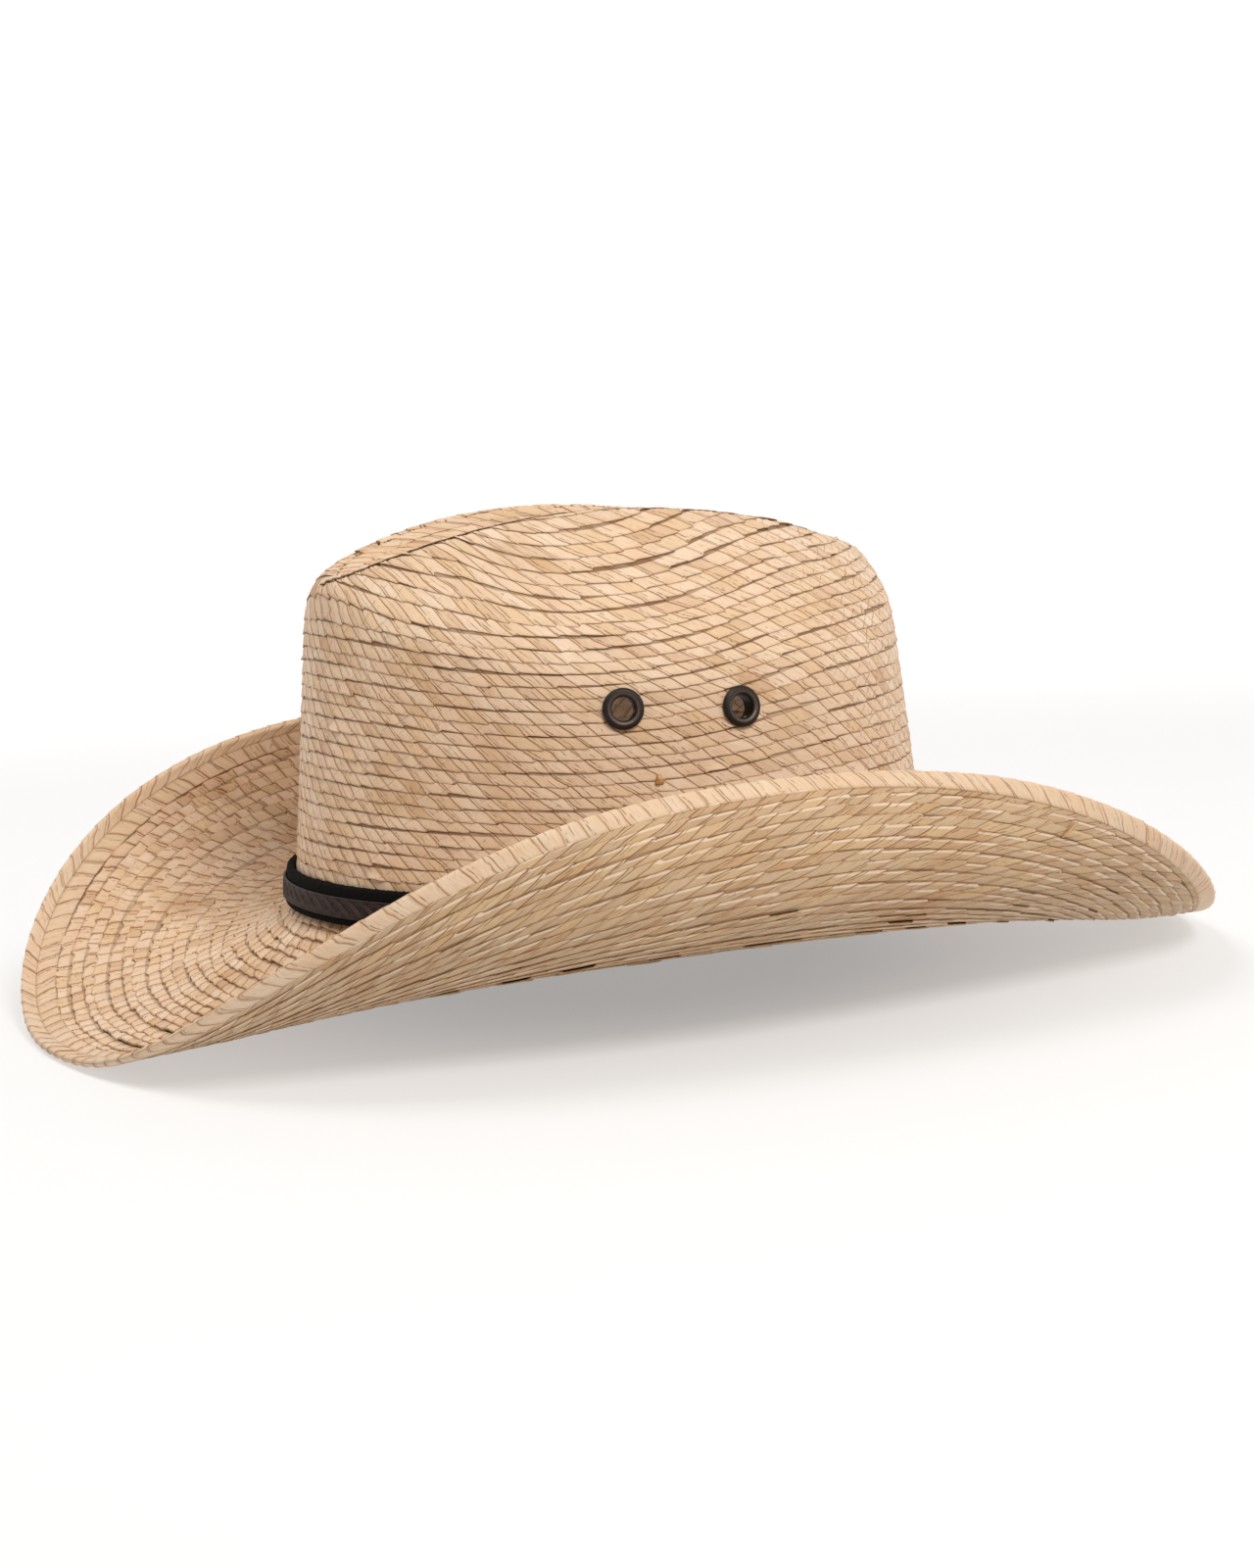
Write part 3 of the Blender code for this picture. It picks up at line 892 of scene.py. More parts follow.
@dataclass(frozen=True)
class StrawFinish:
    """Plaited palm leaf: each leaf has its own tone, dark slits part the leaves, and a painted
    shadow lies under each row's free edge.

    The mesh stores "braid": the leaf coordinate already slanted, the place across the
    row, and the share of crossing slits; "cross" holds the crossing leaf coordinate.
    """

    name: str
    pale: Colour = (0.80, 0.625, 0.460)
    rosy: Colour = (0.72, 0.500, 0.335)
    gold: Colour = (0.66, 0.445, 0.220)
    brown: Colour = (0.46, 0.245, 0.105)
    slit: Colour = (0.24, 0.090, 0.024)
    # dark brown of the row seams, also used for the painted shadow under each free edge
    seam: Colour = (0.185, 0.080, 0.026)
    # pale colour of the leaf's own light fibres, also used for the painted highlight along the
    # free edges
    pale_fibre_and_highlight: Colour = (0.87, 0.74, 0.60)
    gold_share: float = 0.45
    brown_share: float = 0.35
    patch_share: float = 0.25
    patch_scale: float = 26.0
    slit_width: float = 0.055
    slit_share: float = 0.95
    row_line: float = 0.85
    row_width: float = 0.040
    # width of the painted shadow on the tucked side of each row
    shade_width: float = 0.040
    halo: float = 0.34
    drift: float = 0.32
    # strength of the painted highlight along each row's free edge
    painted_edge_highlight: float = 0.0
    seed: float = 0.0

    def make(self) -> bpy.types.Material:
        """Build the material.

        Returns:
            The material.
        """
        tree = Tree(self.name, Specular_IOR_Level=0.32)
        slanted, across, cross_share = tree.attribute("braid")
        crossing = tree.attribute("cross")[0]
        place = tree.place()
        drift = tree.noise(place, 120.0) - 0.5
        coarse = tree.noise(place, 55.0, 2.0) - 0.5
        leaf = Leaf.at(tree, slanted + drift * self.drift + coarse * 0.7, across, self.seed)
        colour, grain, fibre = self.tones(tree, place, leaf)
        hatch = (crossing + drift * 0.5 + coarse).fract()
        slits = self.gaps(tree, leaf, hatch, cross_share)
        fleck = tree.noise(place, 420.0, 2.0)
        patchy_strength = tree.noise(tree.join(leaf.slanted * 0.35, leaf.row * 3.1, leaf.number * 0.01),
                          1.0, 3.0)
        # dark line at each row joint: the brown free edge itself, and a painted shadow on the
        # tucked side just under the neighbour's free edge, broken up by noise
        rim = leaf.across.ramp(1.0 - self.row_width, 1.0 - self.row_width * 0.35)
        shade = leaf.across.ramp(self.shade_width, self.shade_width * 0.15)
        rows = rim.top(shade) * self.row_line * (0.45 + patchy_strength.ramp(0.35, 0.6) * 0.55)
        # painted highlight: a pale band just inside each free edge, where the raised edge would
        # catch the light
        if self.painted_edge_highlight:
            painted_highlight = leaf.across.line(0.84, 0.16) * leaf.chances[0].ramp(0.35, 0.6)
            colour = tree.mix(colour, self.pale_fibre_and_highlight, painted_highlight * self.painted_edge_highlight)
        halo = leaf.side().ramp(0.16, 0.02).top(leaf.across.ramp(0.78, 1.0)) * self.halo
        colour = tree.mix(colour, self.brown, halo * patchy_strength.ramp(0.3, 0.6))
        colour = tree.mix(colour, self.slit, slits)
        # seam colour and painted shadow at the row joints
        colour = tree.mix(colour, self.seam, rows)
        colour = tree.mix(colour, self.slit, fleck.ramp(0.68, 0.78) * 0.45)
        height = leaf.chances[1] * 0.35 + grain * 0.3 + fibre * 0.12
        height = height - slits * 0.8 - shade * 0.5 + fleck * 0.08
        roughness = 0.50 + leaf.chances[0] * 0.16 - grain * 0.08
        return tree.finish(colour, roughness, height, 0.75, 0.00042)

    def tones(self, tree: Tree, place: bpy.types.NodeSocket,
              leaf: Leaf) -> tuple[bpy.types.NodeSocket, Value, Value]:
        """Colour of the bare leaf: its own tone, stains, grain and fibres.

        Args:
            tree: material being built.
            place: object coordinates.
            leaf: the leaf's values.

        Returns:
            The colour, the coarse grain and the fine fibres.
        """
        first, second, third = leaf.chances[:3]
        grain = tree.noise(tree.join(leaf.slanted * 17.0, leaf.across * 1.1 + leaf.number * 3.7,
                                     leaf.row), 1.0, 3.0, 0.65)
        fibre = tree.noise(tree.join(leaf.slanted * 52.0, leaf.across * 1.6 + leaf.number * 2.3,
                                     leaf.row), 1.0, 2.0, 0.6)
        patch = tree.noise(place, self.patch_scale, 3.0)
        soft = tree.noise(place, 75.0, 2.0).ramp(0.3, 0.7)
        colour = tree.mix(self.pale, self.rosy, first * 0.5 + soft * 0.5)
        colour = tree.mix(colour, self.gold, second.ramp(0.55, 1.0) * self.gold_share)
        stain = third.ramp(0.72, 1.0) * self.brown_share
        stain = stain + patch.ramp(0.52, 0.78) * self.patch_share
        colour = tree.mix(colour, self.brown, stain.low(0.8))
        colour = tree.mix(colour, self.brown, grain.ramp(0.50, 0.28) * 0.42)
        colour = tree.mix(colour, self.pale_fibre_and_highlight, grain.ramp(0.52, 0.72) * 0.34)
        colour = tree.mix(colour, self.brown, fibre.ramp(0.46, 0.30) * 0.40)
        return tree.mix(colour, self.pale_fibre_and_highlight, fibre.ramp(0.56, 0.70) * 0.22), grain, fibre

    def gaps(self, tree: Tree, leaf: Leaf, hatch: Value, cross_share: Value) -> Value:
        """Dark slits: between leaves, two broken ones within a leaf, and crossing ones.

        Args:
            tree: material being built.
            leaf: the leaf's values.
            hatch: place between two crossing slits, 0 to 1.
            cross_share: share of the crossing slits.

        Returns:
            How much of a slit each point is.
        """
        first, second, third, fourth, fifth, sixth = leaf.chances
        dash = tree.noise(tree.join(leaf.slanted * 0.9, leaf.run * 2.4 + leaf.number * 0.7,
                                    fourth), 1.0, 2.0)
        slits = leaf.side().ramp(self.slit_width, self.slit_width * 0.3)
        slits = slits * (0.5 + first * 0.5) * dash.ramp(0.26, 0.46)
        twin = leaf.along.line(second * 0.14 + 0.12, self.slit_width * 0.8)
        twin = twin * third.ramp(0.25, 0.45) * dash.ramp(0.62, 0.42) * 0.85
        triple = leaf.along.line(fifth * 0.3 + 0.32, self.slit_width * 0.7)
        triple = triple * sixth.ramp(0.45, 0.6) * dash.ramp(0.40, 0.6) * 0.7
        slits = slits.top(twin).top(triple) * self.slit_share
        crossed = hatch.low(1.0 - hatch).ramp(self.slit_width, self.slit_width * 0.3)
        return slits.top(crossed * cross_share * dash.ramp(0.56, 0.42))


@dataclass(frozen=True)
class FeltFinish:
    """Matte black felt with a short uneven nap."""

    name: str = "felt_black"
    dark: Colour = (0.0035, 0.0030, 0.0028)
    lint: Colour = (0.022, 0.018, 0.015)

    def make(self) -> bpy.types.Material:
        """Build the material.

        Returns:
            The material.
        """
        tree = Tree(self.name, Specular_IOR_Level=0.12)
        place = tree.place()
        nap = tree.noise(place, 1900.0, 3.0, 0.7)
        clump = tree.noise(place, 420.0, 2.0)
        colour = tree.mix(self.dark, self.lint, nap.ramp(0.55, 0.85) * 0.7)
        return tree.finish(colour, 0.92, nap + clump * 0.8, 0.9, 0.0004)


@dataclass(frozen=True)
class LeatherFinish:
    """Very dark leather with painted shade in the grooves of its embossing, rubbed lighter with a
    painted highlight on its crests.

    The mesh stores "relief": height 0..1 of the embossing in its first part.
    """

    name: str = "leather_embossed"
    # darkest tone, used as painted shade in the grooves of the embossing
    deep: Colour = (0.006, 0.003, 0.0025)
    tan: Colour = (0.024, 0.009, 0.006)
    # lighter tone of the crests: rubbing and a painted highlight
    rubbed_and_highlight: Colour = (0.105, 0.055, 0.043)

    def make(self) -> bpy.types.Material:
        """Build the material.

        Returns:
            The material.
        """
        tree = Tree(self.name, Specular_IOR_Level=0.28)
        raised = tree.attribute("relief")[0]
        place = tree.place()
        grain = tree.noise(place, 1300.0, 3.0, 0.6)
        pores = tree.add("ShaderNodeTexVoronoi", None, {"Vector": place, "Scale": 1500.0})
        rub_and_highlight = tree.noise(place, 160.0, 3.0)
        # painted shade: darkest in the grooves, lighter on the raised parts
        colour = tree.mix(self.deep, self.tan, raised.ramp(0.15, 0.75))
        # painted highlight with rubbing along the crests, broken up by noise
        colour = tree.mix(colour, self.rubbed_and_highlight, raised.ramp(0.72, 1.0) * rub_and_highlight.ramp(0.4, 0.65) * 0.7)
        height = grain * 0.5 + Value(tree, pores.outputs[0]) * 0.5
        return tree.finish(colour, 0.40 + grain * 0.22, height, 0.5, 0.0002)


@dataclass(frozen=True)
class BronzeFinish:
    """Antique bronze: near-black patina, rubbed brighter on the highest turns, which also paints a
    highlight ring on the lip.

    The mesh stores "relief": 1 on the rubbed inner lip, where the painted highlight ring lies, 0
    in the corners.
    """

    name: str = "bronze_antique"
    patina: Colour = (0.022, 0.015, 0.012)
    metal: Colour = (0.16, 0.12, 0.105)

    def make(self) -> bpy.types.Material:
        """Build the material.

        Returns:
            The material.
        """
        tree = Tree(self.name, Specular_IOR_Level=0.5)
        raised = tree.attribute("relief")[0]
        place = tree.place()
        spots = tree.noise(place, 900.0, 3.0, 0.6)
        cloud = tree.noise(place, 260.0, 2.0)
        # rubbed brighter metal on the lip, partly a painted highlight ring
        rub_and_highlight = raised.ramp(0.45, 0.95) * 0.75 + spots.ramp(0.55, 0.75) * 0.18
        colour = tree.mix(self.patina, self.metal, rub_and_highlight.low(1.0))
        tree.put(tree.shader.inputs["Metallic"], 0.55 + rub_and_highlight * 0.4)
        return tree.finish(colour, 0.36 + cloud * 0.2 + spots * 0.1, spots + cloud, 0.35, 0.0003)


@dataclass(frozen=True)
class ClothFinish:
    """Woven tape or ribbon: fine crossing threads over two tones."""

    name: str
    dark: Colour
    light: Colour
    threads: float = 900.0
    rough: float = 0.8

    def make(self) -> bpy.types.Material:
        """Build the material.

        Returns:
            The material.
        """
        tree = Tree(self.name, Specular_IOR_Level=0.3, Sheen_Weight=0.2)
        place = tree.place()
        x, y, z = tree.split(place)
        warp = (((x + y) * self.threads + z * self.threads).math("SINE")).abs()
        weft = (((x - y) * self.threads - z * self.threads * 1.4).math("SINE")).abs()
        weave = warp * 0.6 + weft * 0.4
        soil = tree.noise(place, 60.0, 3.0)
        colour = tree.mix(self.dark, self.light, weave * 0.7 + soil * 0.3)
        return tree.finish(colour, self.rough - weave * 0.1, weave, 0.5, 0.0003)


@dataclass(frozen=True)
class SteelFinish:
    """Plain drawn wire with faint lengthwise scratches."""

    name: str = "steel_wire"
    bright: Colour = (0.42, 0.42, 0.41)
    dull: Colour = (0.20, 0.19, 0.18)

    def make(self) -> bpy.types.Material:
        """Build the material.

        Returns:
            The material.
        """
        tree = Tree(self.name, Metallic=1.0)
        scratch = tree.noise(tree.place(), 1500.0, 3.0)
        colour = tree.mix(self.bright, self.dull, scratch.ramp(0.4, 0.7))
        return tree.finish(colour, 0.28 + scratch * 0.25, scratch, 0.2, 0.0001)


# ---------------------------------------------------------------- braid rows


@dataclass(frozen=True)
class Braid:
    """One long plaited strip wound in a spiral over a skin, each turn lapping the next.

    Station by station across the strip, 0 is the side tucked under the neighbour and 1
    the free edge.  The strip rises from the tucked side to the free edge; every leaf is
    slightly domed, sits at its own height and ends a little short or long.
    """

    leaves: float
    slant: float
    depth: float = 0.55
    dome: float = 0.10
    tilt: float = 0.12
    scatter: float = 0.10
    ragged: float = 0.17
    wander: float = 0.055
    cross_slant: float = 0.9
    stations: tuple[float, ...] = (-0.3, 0.0, 0.16, 0.38, 0.62, 0.84, 0.955, 1.0, 1.0)
    heights: tuple[float, ...] = (-1.3, -1.0, -0.80, -0.52, -0.26, -0.06, 0.0, -0.28, -1.1)

    def leaf_count(self, turn: np.ndarray, fullness: tuple[np.ndarray, np.ndarray]) -> np.ndarray:
        """Leaves laid up to a turn: the fullness of the turns summed up.

        Args:
            turn: turns of the spiral.
            fullness: turns and the share of the full count that they hold.

        Returns:
            The leaf number, with its part after the point.
        """
        fine = np.linspace(fullness[0][0], fullness[0][-1], 2001)
        share = np.interp(fine, *fullness)
        total = np.append(0, np.cumsum((share[1:] + share[:-1]) / 2)) * (fine[1] - fine[0])
        return np.interp(turn, fine, total) * self.leaves

    def wind(self, skin: Skin, start: float, stop: float, steps: int, down: bool,
             fullness: tuple[np.ndarray, np.ndarray], phase: float = 0.0,
             ceiling: np.ndarray | None = None) -> Strip:
        """Lay the strip over a skin from one turn to another.

        The level at a station is the turn plus the place across, or plus one minus it
        where the free edge points down the levels.

        Args:
            skin: surface to follow.
            start: first turn, in rows of the skin.
            stop: last turn.
            steps: points in each turn.
            down: whether the free edge lies at the lower level.
            fullness: turns and their share of the full leaf count.
            phase: angle at turn nought.
            ceiling: level at each whole degree past which nothing is laid.

        Returns:
            Points, faces, normals and the values for the finish.
        """
        turn = np.linspace(start, stop, int((stop - start) * steps) + 1)[:, None]
        across = np.array(self.stations)[None, :]
        shape = (len(turn), len(self.stations))
        angle = phase + TURN * turn
        count = self.leaf_count(turn, fullness)
        slanted = count - self.slant * across
        leaf = np.floor(slanted)
        c = slanted - leaf
        inner = smooth(across, -0.1, 0.25) * smooth(-across, -1.05, -0.93)
        free = smooth(across, 0.55, 0.95)
        wave = np.sin(7.1 * angle / 3 + 1) + 0.8 * np.sin(angle * 5.3) + 0.7 * np.sin(angle * 13.7)
        shift = self.wander * wave
        shift = shift + self.ragged * free * ((chance(leaf, 3.0) - 0.5) + 0.7 * (c - 0.5))
        level = turn + (1 - across if down else across)
        level = level + (-shift if down else shift)
        spots, normals = skin.at(np.broadcast_to(angle, shape), level)
        height = self.depth * np.array(self.heights)[None, :]
        relief = self.dome * np.sin(math.pi * c) * inner
        relief = relief + self.tilt * (c - 0.5) * (inner + free * 0.5)
        relief = relief + self.scatter * (chance(leaf, 9.0) - 0.5) * (inner + free)
        curl = smooth(chance(leaf, 5.0), 0.93, 1.0) * free * 0.5
        points = spots + normals * (height + relief + curl)[..., None]
        side = np.clip(across, 0, 1) * 0.998
        mask = 0.85 * smooth(np.sin(angle), 0.25, 0.75) + 0.35 * smooth(-np.sin(angle), 0.5, 0.9)
        mask = mask * np.ones(shape)
        values = {
            "braid": np.stack(np.broadcast_arrays(slanted, side, mask), -1).reshape(-1, 3),
            "cross": np.stack(np.broadcast_arrays(count + self.cross_slant * across,
                                                  side, mask), -1).reshape(-1, 3)}
        faces = grid_faces(*shape)
        faces = faces[(level > skin.low - 0.01).ravel()[faces].all(axis=1)]
        if ceiling is not None:
            degree = (angle + math.pi) / TURN % 1.0 * 360
            top = np.interp(degree, np.arange(361), ceiling) * np.ones(shape)
            faces = faces[(level < top).ravel()[faces].all(axis=1)]
        return points.reshape(-1, 3), faces, normals.reshape(-1, 3), values


def without(points: np.ndarray, faces: np.ndarray,
            holes: list[tuple[np.ndarray, float]]) -> np.ndarray:
    """Faces left when those near each hole's centre are dropped.

    Args:
        points: points of the mesh.
        faces: four point numbers for each quad.
        holes: centre and radius of each hole.

    Returns:
        The faces that stay.
    """
    middle = points[faces].mean(1)
    keep = np.ones(len(faces), bool)
    for centre, radius in holes:
        keep &= np.linalg.norm(middle - centre, axis=1) > radius
    return faces[keep]


# ---------------------------------------------------------------- sub-assemblies


@dataclass
class Eyelets:
    """Four vent eyelets with rolled lips, and the washers that hold them inside."""

    form: CrownForm
    angles: tuple[float, float] = (-20.0, 1.4)
    climbs: tuple[float, float] = (62.6, 61.0)
    radius: float = 6.0
    hole: float = 3.4
    barrel: float = 4.1
    thick: float = 1.5

    def places(self) -> list[tuple[str, np.ndarray, np.ndarray]]:
        """Name ending, centre and outward direction of each eyelet.

        Returns:
            One entry for each of the four eyelets.
        """
        found = []
        mirror = np.array([-1.0, 1.0, 1.0])
        for angle, climb, ending in zip(self.angles, self.climbs, ("front", "back")):
            centre, outward = self.form.on_wall(math.radians(angle), climb)
            found.append((f"left_{ending}", centre, outward))
            found.append((f"right_{ending}", centre * mirror, outward * mirror))
        return found

    def turned(self, centre: np.ndarray, outward: np.ndarray, profile: np.ndarray,
               count: int) -> np.ndarray:
        """Revolve radius and height pairs about the eyelet's axis.

        Args:
            centre: centre on the wall.
            outward: unit direction of the axis.
            profile: radius and height pairs.
            count: points in each turn.

        Returns:
            Points, turn by turn.
        """
        level, upright = beside(outward)
        turn = TURN * np.arange(count)[:, None, None] / count
        ray = level * np.cos(turn) + upright * np.sin(turn)
        radius, height = profile[None, :, :1], profile[None, :, 1:]
        return centre + ray * radius + outward * height

    def lip(self) -> tuple[np.ndarray, np.ndarray]:
        """Rolled lip: a flat half ring outside, a narrow roll into the hole, a barrel.

        Returns:
            Radius and height pairs of the closed section, and how rubbed each is, which also
            places the painted highlight ring.
        """
        t = np.linspace(0, math.pi, 15)
        middle, half = (self.radius + self.hole) / 2, (self.radius - self.hole) / 2
        roll = np.stack([middle + half * np.cos(t), 0.55 + 1.35 * np.sin(t) ** 0.8], -1)
        step = np.array([[self.hole - 0.02, 0.3], [self.hole + 0.12, -0.2]])
        tube = np.array([[self.hole + 0.25, -1.5], [self.hole + 0.3, -4.2],
                         [self.barrel, -4.2], [self.barrel, 0.35]])
        section = np.concatenate([roll, step, tube])
        # rubbing on the roll, also the painted highlight ring on its inner half
        rubbed_and_highlight = np.concatenate([0.15 + 0.85 * np.sin(t * 0.5 + math.pi / 4) ** 6
                                 * smooth(t, 0.9, 2.2), [0.5, 0.2], [0.05, 0, 0, 0]])
        return section, rubbed_and_highlight

    def build(self, finish: bpy.types.Material) -> None:
        """Make the eyelets and washers.

        Args:
            finish: bronze.
        """
        section, rubbed_and_highlight = self.lip()
        inside = self.thick + 1.65
        ring = self.barrel + 0.3
        washer = np.array([[ring, -inside], [ring, -inside - 0.6], [5.5, -inside - 0.6],
                           [5.85, -inside - 0.4], [5.9, -inside - 0.15], [5.8, -inside]])
        for ending, centre, outward in self.places():
            for name, profile, rub_and_highlight, count in (("eyelet", section, rubbed_and_highlight, 64),
                                              ("eyelet_washer", washer, np.full(6, 0.4), 48)):
                grid = self.turned(centre, outward, profile, count)
                relief = np.repeat(np.tile(rub_and_highlight, count)[:, None], 3, 1)
                faces = grid_faces(count, len(profile), True, True)
                core = grid.mean(axis=1, keepdims=True)
                Piece(f"{name}_{ending}_turned", grid.reshape(-1, 3), faces, finish,
                      Slot.BRONZE, replaces=(f"{name}_{ending}",), values={"relief": relief},
                      outward=(grid - core).reshape(-1, 3)).add()


@dataclass
class Crown:
    """Crown of sewn rows outside and inside, pierced at the vents."""

    form: CrownForm
    holes: list[tuple[np.ndarray, float]]
    braid: Braid = Braid(leaves=88.65, slant=0.65, depth=0.25)
    lining: Braid = Braid(leaves=88.65, slant=0.65, depth=0.34,
                          stations=(-0.3, 0.0, 0.5, 0.93, 1.0, 1.0),
                          heights=(-1.3, -1.0, -0.4, 0.0, -0.28, -1.1))
    steps: int = 640
    bands: tuple[float, ...] = (-1.25, 8.0, 16.0, 24.0, 32.0, 40.0)

    def build(self, finish: bpy.types.Material, inner: bpy.types.Material) -> None:
        """Make the wall in bands and the top, then the same seen from inside.

        Args:
            finish: straw of the outside.
            inner: straw of the inside.
        """
        full = (np.array([-2.0, 22.0, 33.0, 41.0]), np.array([1.0, 1.0, 0.86, 0.62]))
        closing = (np.array([-1.0, 0.0, self.form.top_rows]), np.array([0.74, 0.74, 0.03]))
        start, stop = self.form.top_start, self.form.top_rows - 0.1
        phase = self.form.top_angle - TURN * start
        for name, offset, flip, braid, steps, straw in (
                ("crown", 0.0, False, self.braid, self.steps, finish),
                ("crown_lining", -1.5, True, self.lining, 300, inner)):
            wall, top, ceiling = self.form.skins(offset, flip)
            bands = (self.bands[0], self.bands[-1]) if flip else self.bands
            parts = [(f"{name}_rows_{k}", wall, low, high, full, 0.0, ceiling)
                     for k, (low, high) in enumerate(zip(bands, bands[1:]))]
            parts.append((f"{name}_top_rows", top, start, stop, closing, phase, None))
            for label, skin, low, high, count, at, limit in parts:
                points, faces, normals, values = braid.wind(skin, low, high, steps, True,
                                                            count, at, limit)
                Piece(label, points, without(points, faces, self.holes), straw, Slot.STRAW,
                      replaces=() if flip else ("crown_braid",), values=values,
                      outward=normals).add()


@dataclass
class Brim:
    """Brim of sewn rows on top and underneath."""

    form: BrimForm
    top: Braid = Braid(leaves=92.45, slant=0.55, depth=0.60, dome=0.16, tilt=0.22, scatter=0.26,
                       ragged=0.24, wander=0.09)
    under: Braid = Braid(leaves=72.2, slant=0.85, depth=0.30, dome=0.10, tilt=0.14,
                         scatter=0.12, ragged=0.22)
    steps: tuple[int, int] = (760, 960)

    def build(self, upper: bpy.types.Material, lower: bpy.types.Material) -> None:
        """Make each side in an inner and an outer band.

        Args:
            upper: straw of the top.
            lower: straw of the underside.
        """
        sides = (("top", self.top, upper, True, 0.3), ("under", self.under, lower, False, 1.7))
        for name, braid, finish, is_top, phase in sides:
            skin = self.form.skin(is_top)
            rows = self.form.rows_across[not is_top]
            fullness = (np.array([-1.0, 0.0, rows + 1.0]), np.array([1.0, 1.0, 1.95]))
            middle = rows / 2
            for band, (low, high) in enumerate(((-1.0, middle), (middle, rows + 0.35))):
                points, faces, normals, values = braid.wind(
                    skin, low, high, self.steps[band], False, fullness, phase)
                values["braid"][:, 2] = 0.0
                Piece(f"brim_{name}_rows_{band}", points, faces, finish, Slot.STRAW,
                      replaces=("brim_braid",), values=values, outward=normals).add()


@dataclass
class EdgeBraid:
    """Wide herringbone braid folded over the brim edge.

    Across it there are three columns of leaves: two on top that meet in a V, and one
    that wraps the fold and runs under the brim, each leaf standing a little proud.
    """

    form: BrimForm
    leaves: float = 168.0
    top: float = 9.5
    first_column: float = 6.2
    fold_radius: float = 1.2
    under: float = 4.6
    steps: int = 2352
    tooth: float = 0.34

    def across(self) -> tuple[np.ndarray, np.ndarray, np.ndarray]:
        """Stations from the inner side on top, round the fold, to the side underneath.

        Returns:
            Way along the section, column of leaves and lean of the leaves.
        """
        arc = math.pi * self.fold_radius
        total = self.top + arc + self.under
        seams = np.array([0.0, self.first_column, self.top + 0.5 * arc, total])
        reach = np.concatenate([np.linspace(seams[k], seams[k + 1], n, endpoint=False)
                                for k, n in enumerate((9, 11, 11))] + [[total]])
        column = np.interp(reach, seams, [0.0, 1.0, 2.0, 3.0])
        return reach, column, np.interp(reach, seams, [0.0, -0.95, -0.15, -0.85])

    def build(self, finish: bpy.types.Material) -> None:
        """Make the folded braid as one closed band.

        Args:
            finish: straw of the edge.
        """
        reach, column, lean = self.across()
        arc = math.pi * self.fold_radius
        turn = np.arange(self.steps)[:, None] / self.steps
        angle = -math.pi + TURN * turn
        slanted = turn * self.leaves + lean[None, :]
        leaf = np.floor(slanted)
        c = slanted - leaf
        theta = np.clip((reach - self.top) / self.fold_radius, 0, math.pi)
        back = np.maximum(reach - self.top - arc, 0)
        radius = self.fold_radius
        from_edge = np.minimum(reach - self.top, 0) - radius + radius * np.sin(theta) - back
        lift = radius * np.cos(theta)
        lift = lift - 0.25 * smooth(-reach, -3.5, 0.0) + 0.30 * smooth(back, 0.5, self.under)
        proud = self.tooth * (c - 0.5) + 0.12 * (chance(leaf + np.floor(column) * 57, 2.0) - 0.5)
        within = column - np.floor(column)
        proud = proud * np.minimum(1, 6 * np.minimum(within, 1 - within) + 0.35)
        groove = -0.12 * np.exp(-(np.minimum(within, 1 - within) / 0.05) ** 2)
        sections = self.form.edge_skin()
        shape = (self.steps, len(reach))
        ring = np.broadcast_to(angle, shape)
        middle, normal = sections.at(ring, np.broadcast_to(from_edge[None, :], shape))
        rim, _ = sections.at(ring, np.zeros(shape))
        deep, _ = sections.at(ring, np.full(shape, -2.0))
        outward = (rim - deep) / 2.0
        facing = normal * np.cos(theta)[None, :, None] + outward * np.sin(theta)[None, :, None]
        ragged = 0.25 * (chance(leaf + np.floor(column) * 13, 4.0) - 0.5)
        ragged = ragged * (np.abs(reach) < 0.01) * 2
        points = middle + normal * lift[None, :, None] + facing * (proud + groove)[..., None]
        points = points - outward * ragged[..., None]
        hidden_top = middle[:, :1] + normal[:, :1] * 0.55
        hidden_under = middle[:, -1:] - normal[:, -1:] * 0.55
        points = np.concatenate([hidden_top, points, hidden_under], axis=1)
        facing = np.concatenate([facing[:, :1], facing, facing[:, -1:]], axis=1)
        column = np.concatenate([[0.0], column, [2.998]])
        column[-2:] = 2.998
        slanted = np.concatenate([slanted[:, :1], slanted, slanted[:, -1:]], axis=1)
        spread = np.broadcast_arrays(slanted, column[None, :], 0.0)
        values = {"braid": np.stack(spread, -1).reshape(-1, 3),
                  "cross": np.zeros((points.shape[0] * points.shape[1], 3))}
        faces = grid_faces(points.shape[0], points.shape[1], True, False)
        Piece("brim_edge_folded", points.reshape(-1, 3), faces, finish, Slot.EDGE,
              replaces=("brim_edge_braid",), values=values,
              outward=facing.reshape(-1, 3)).add()


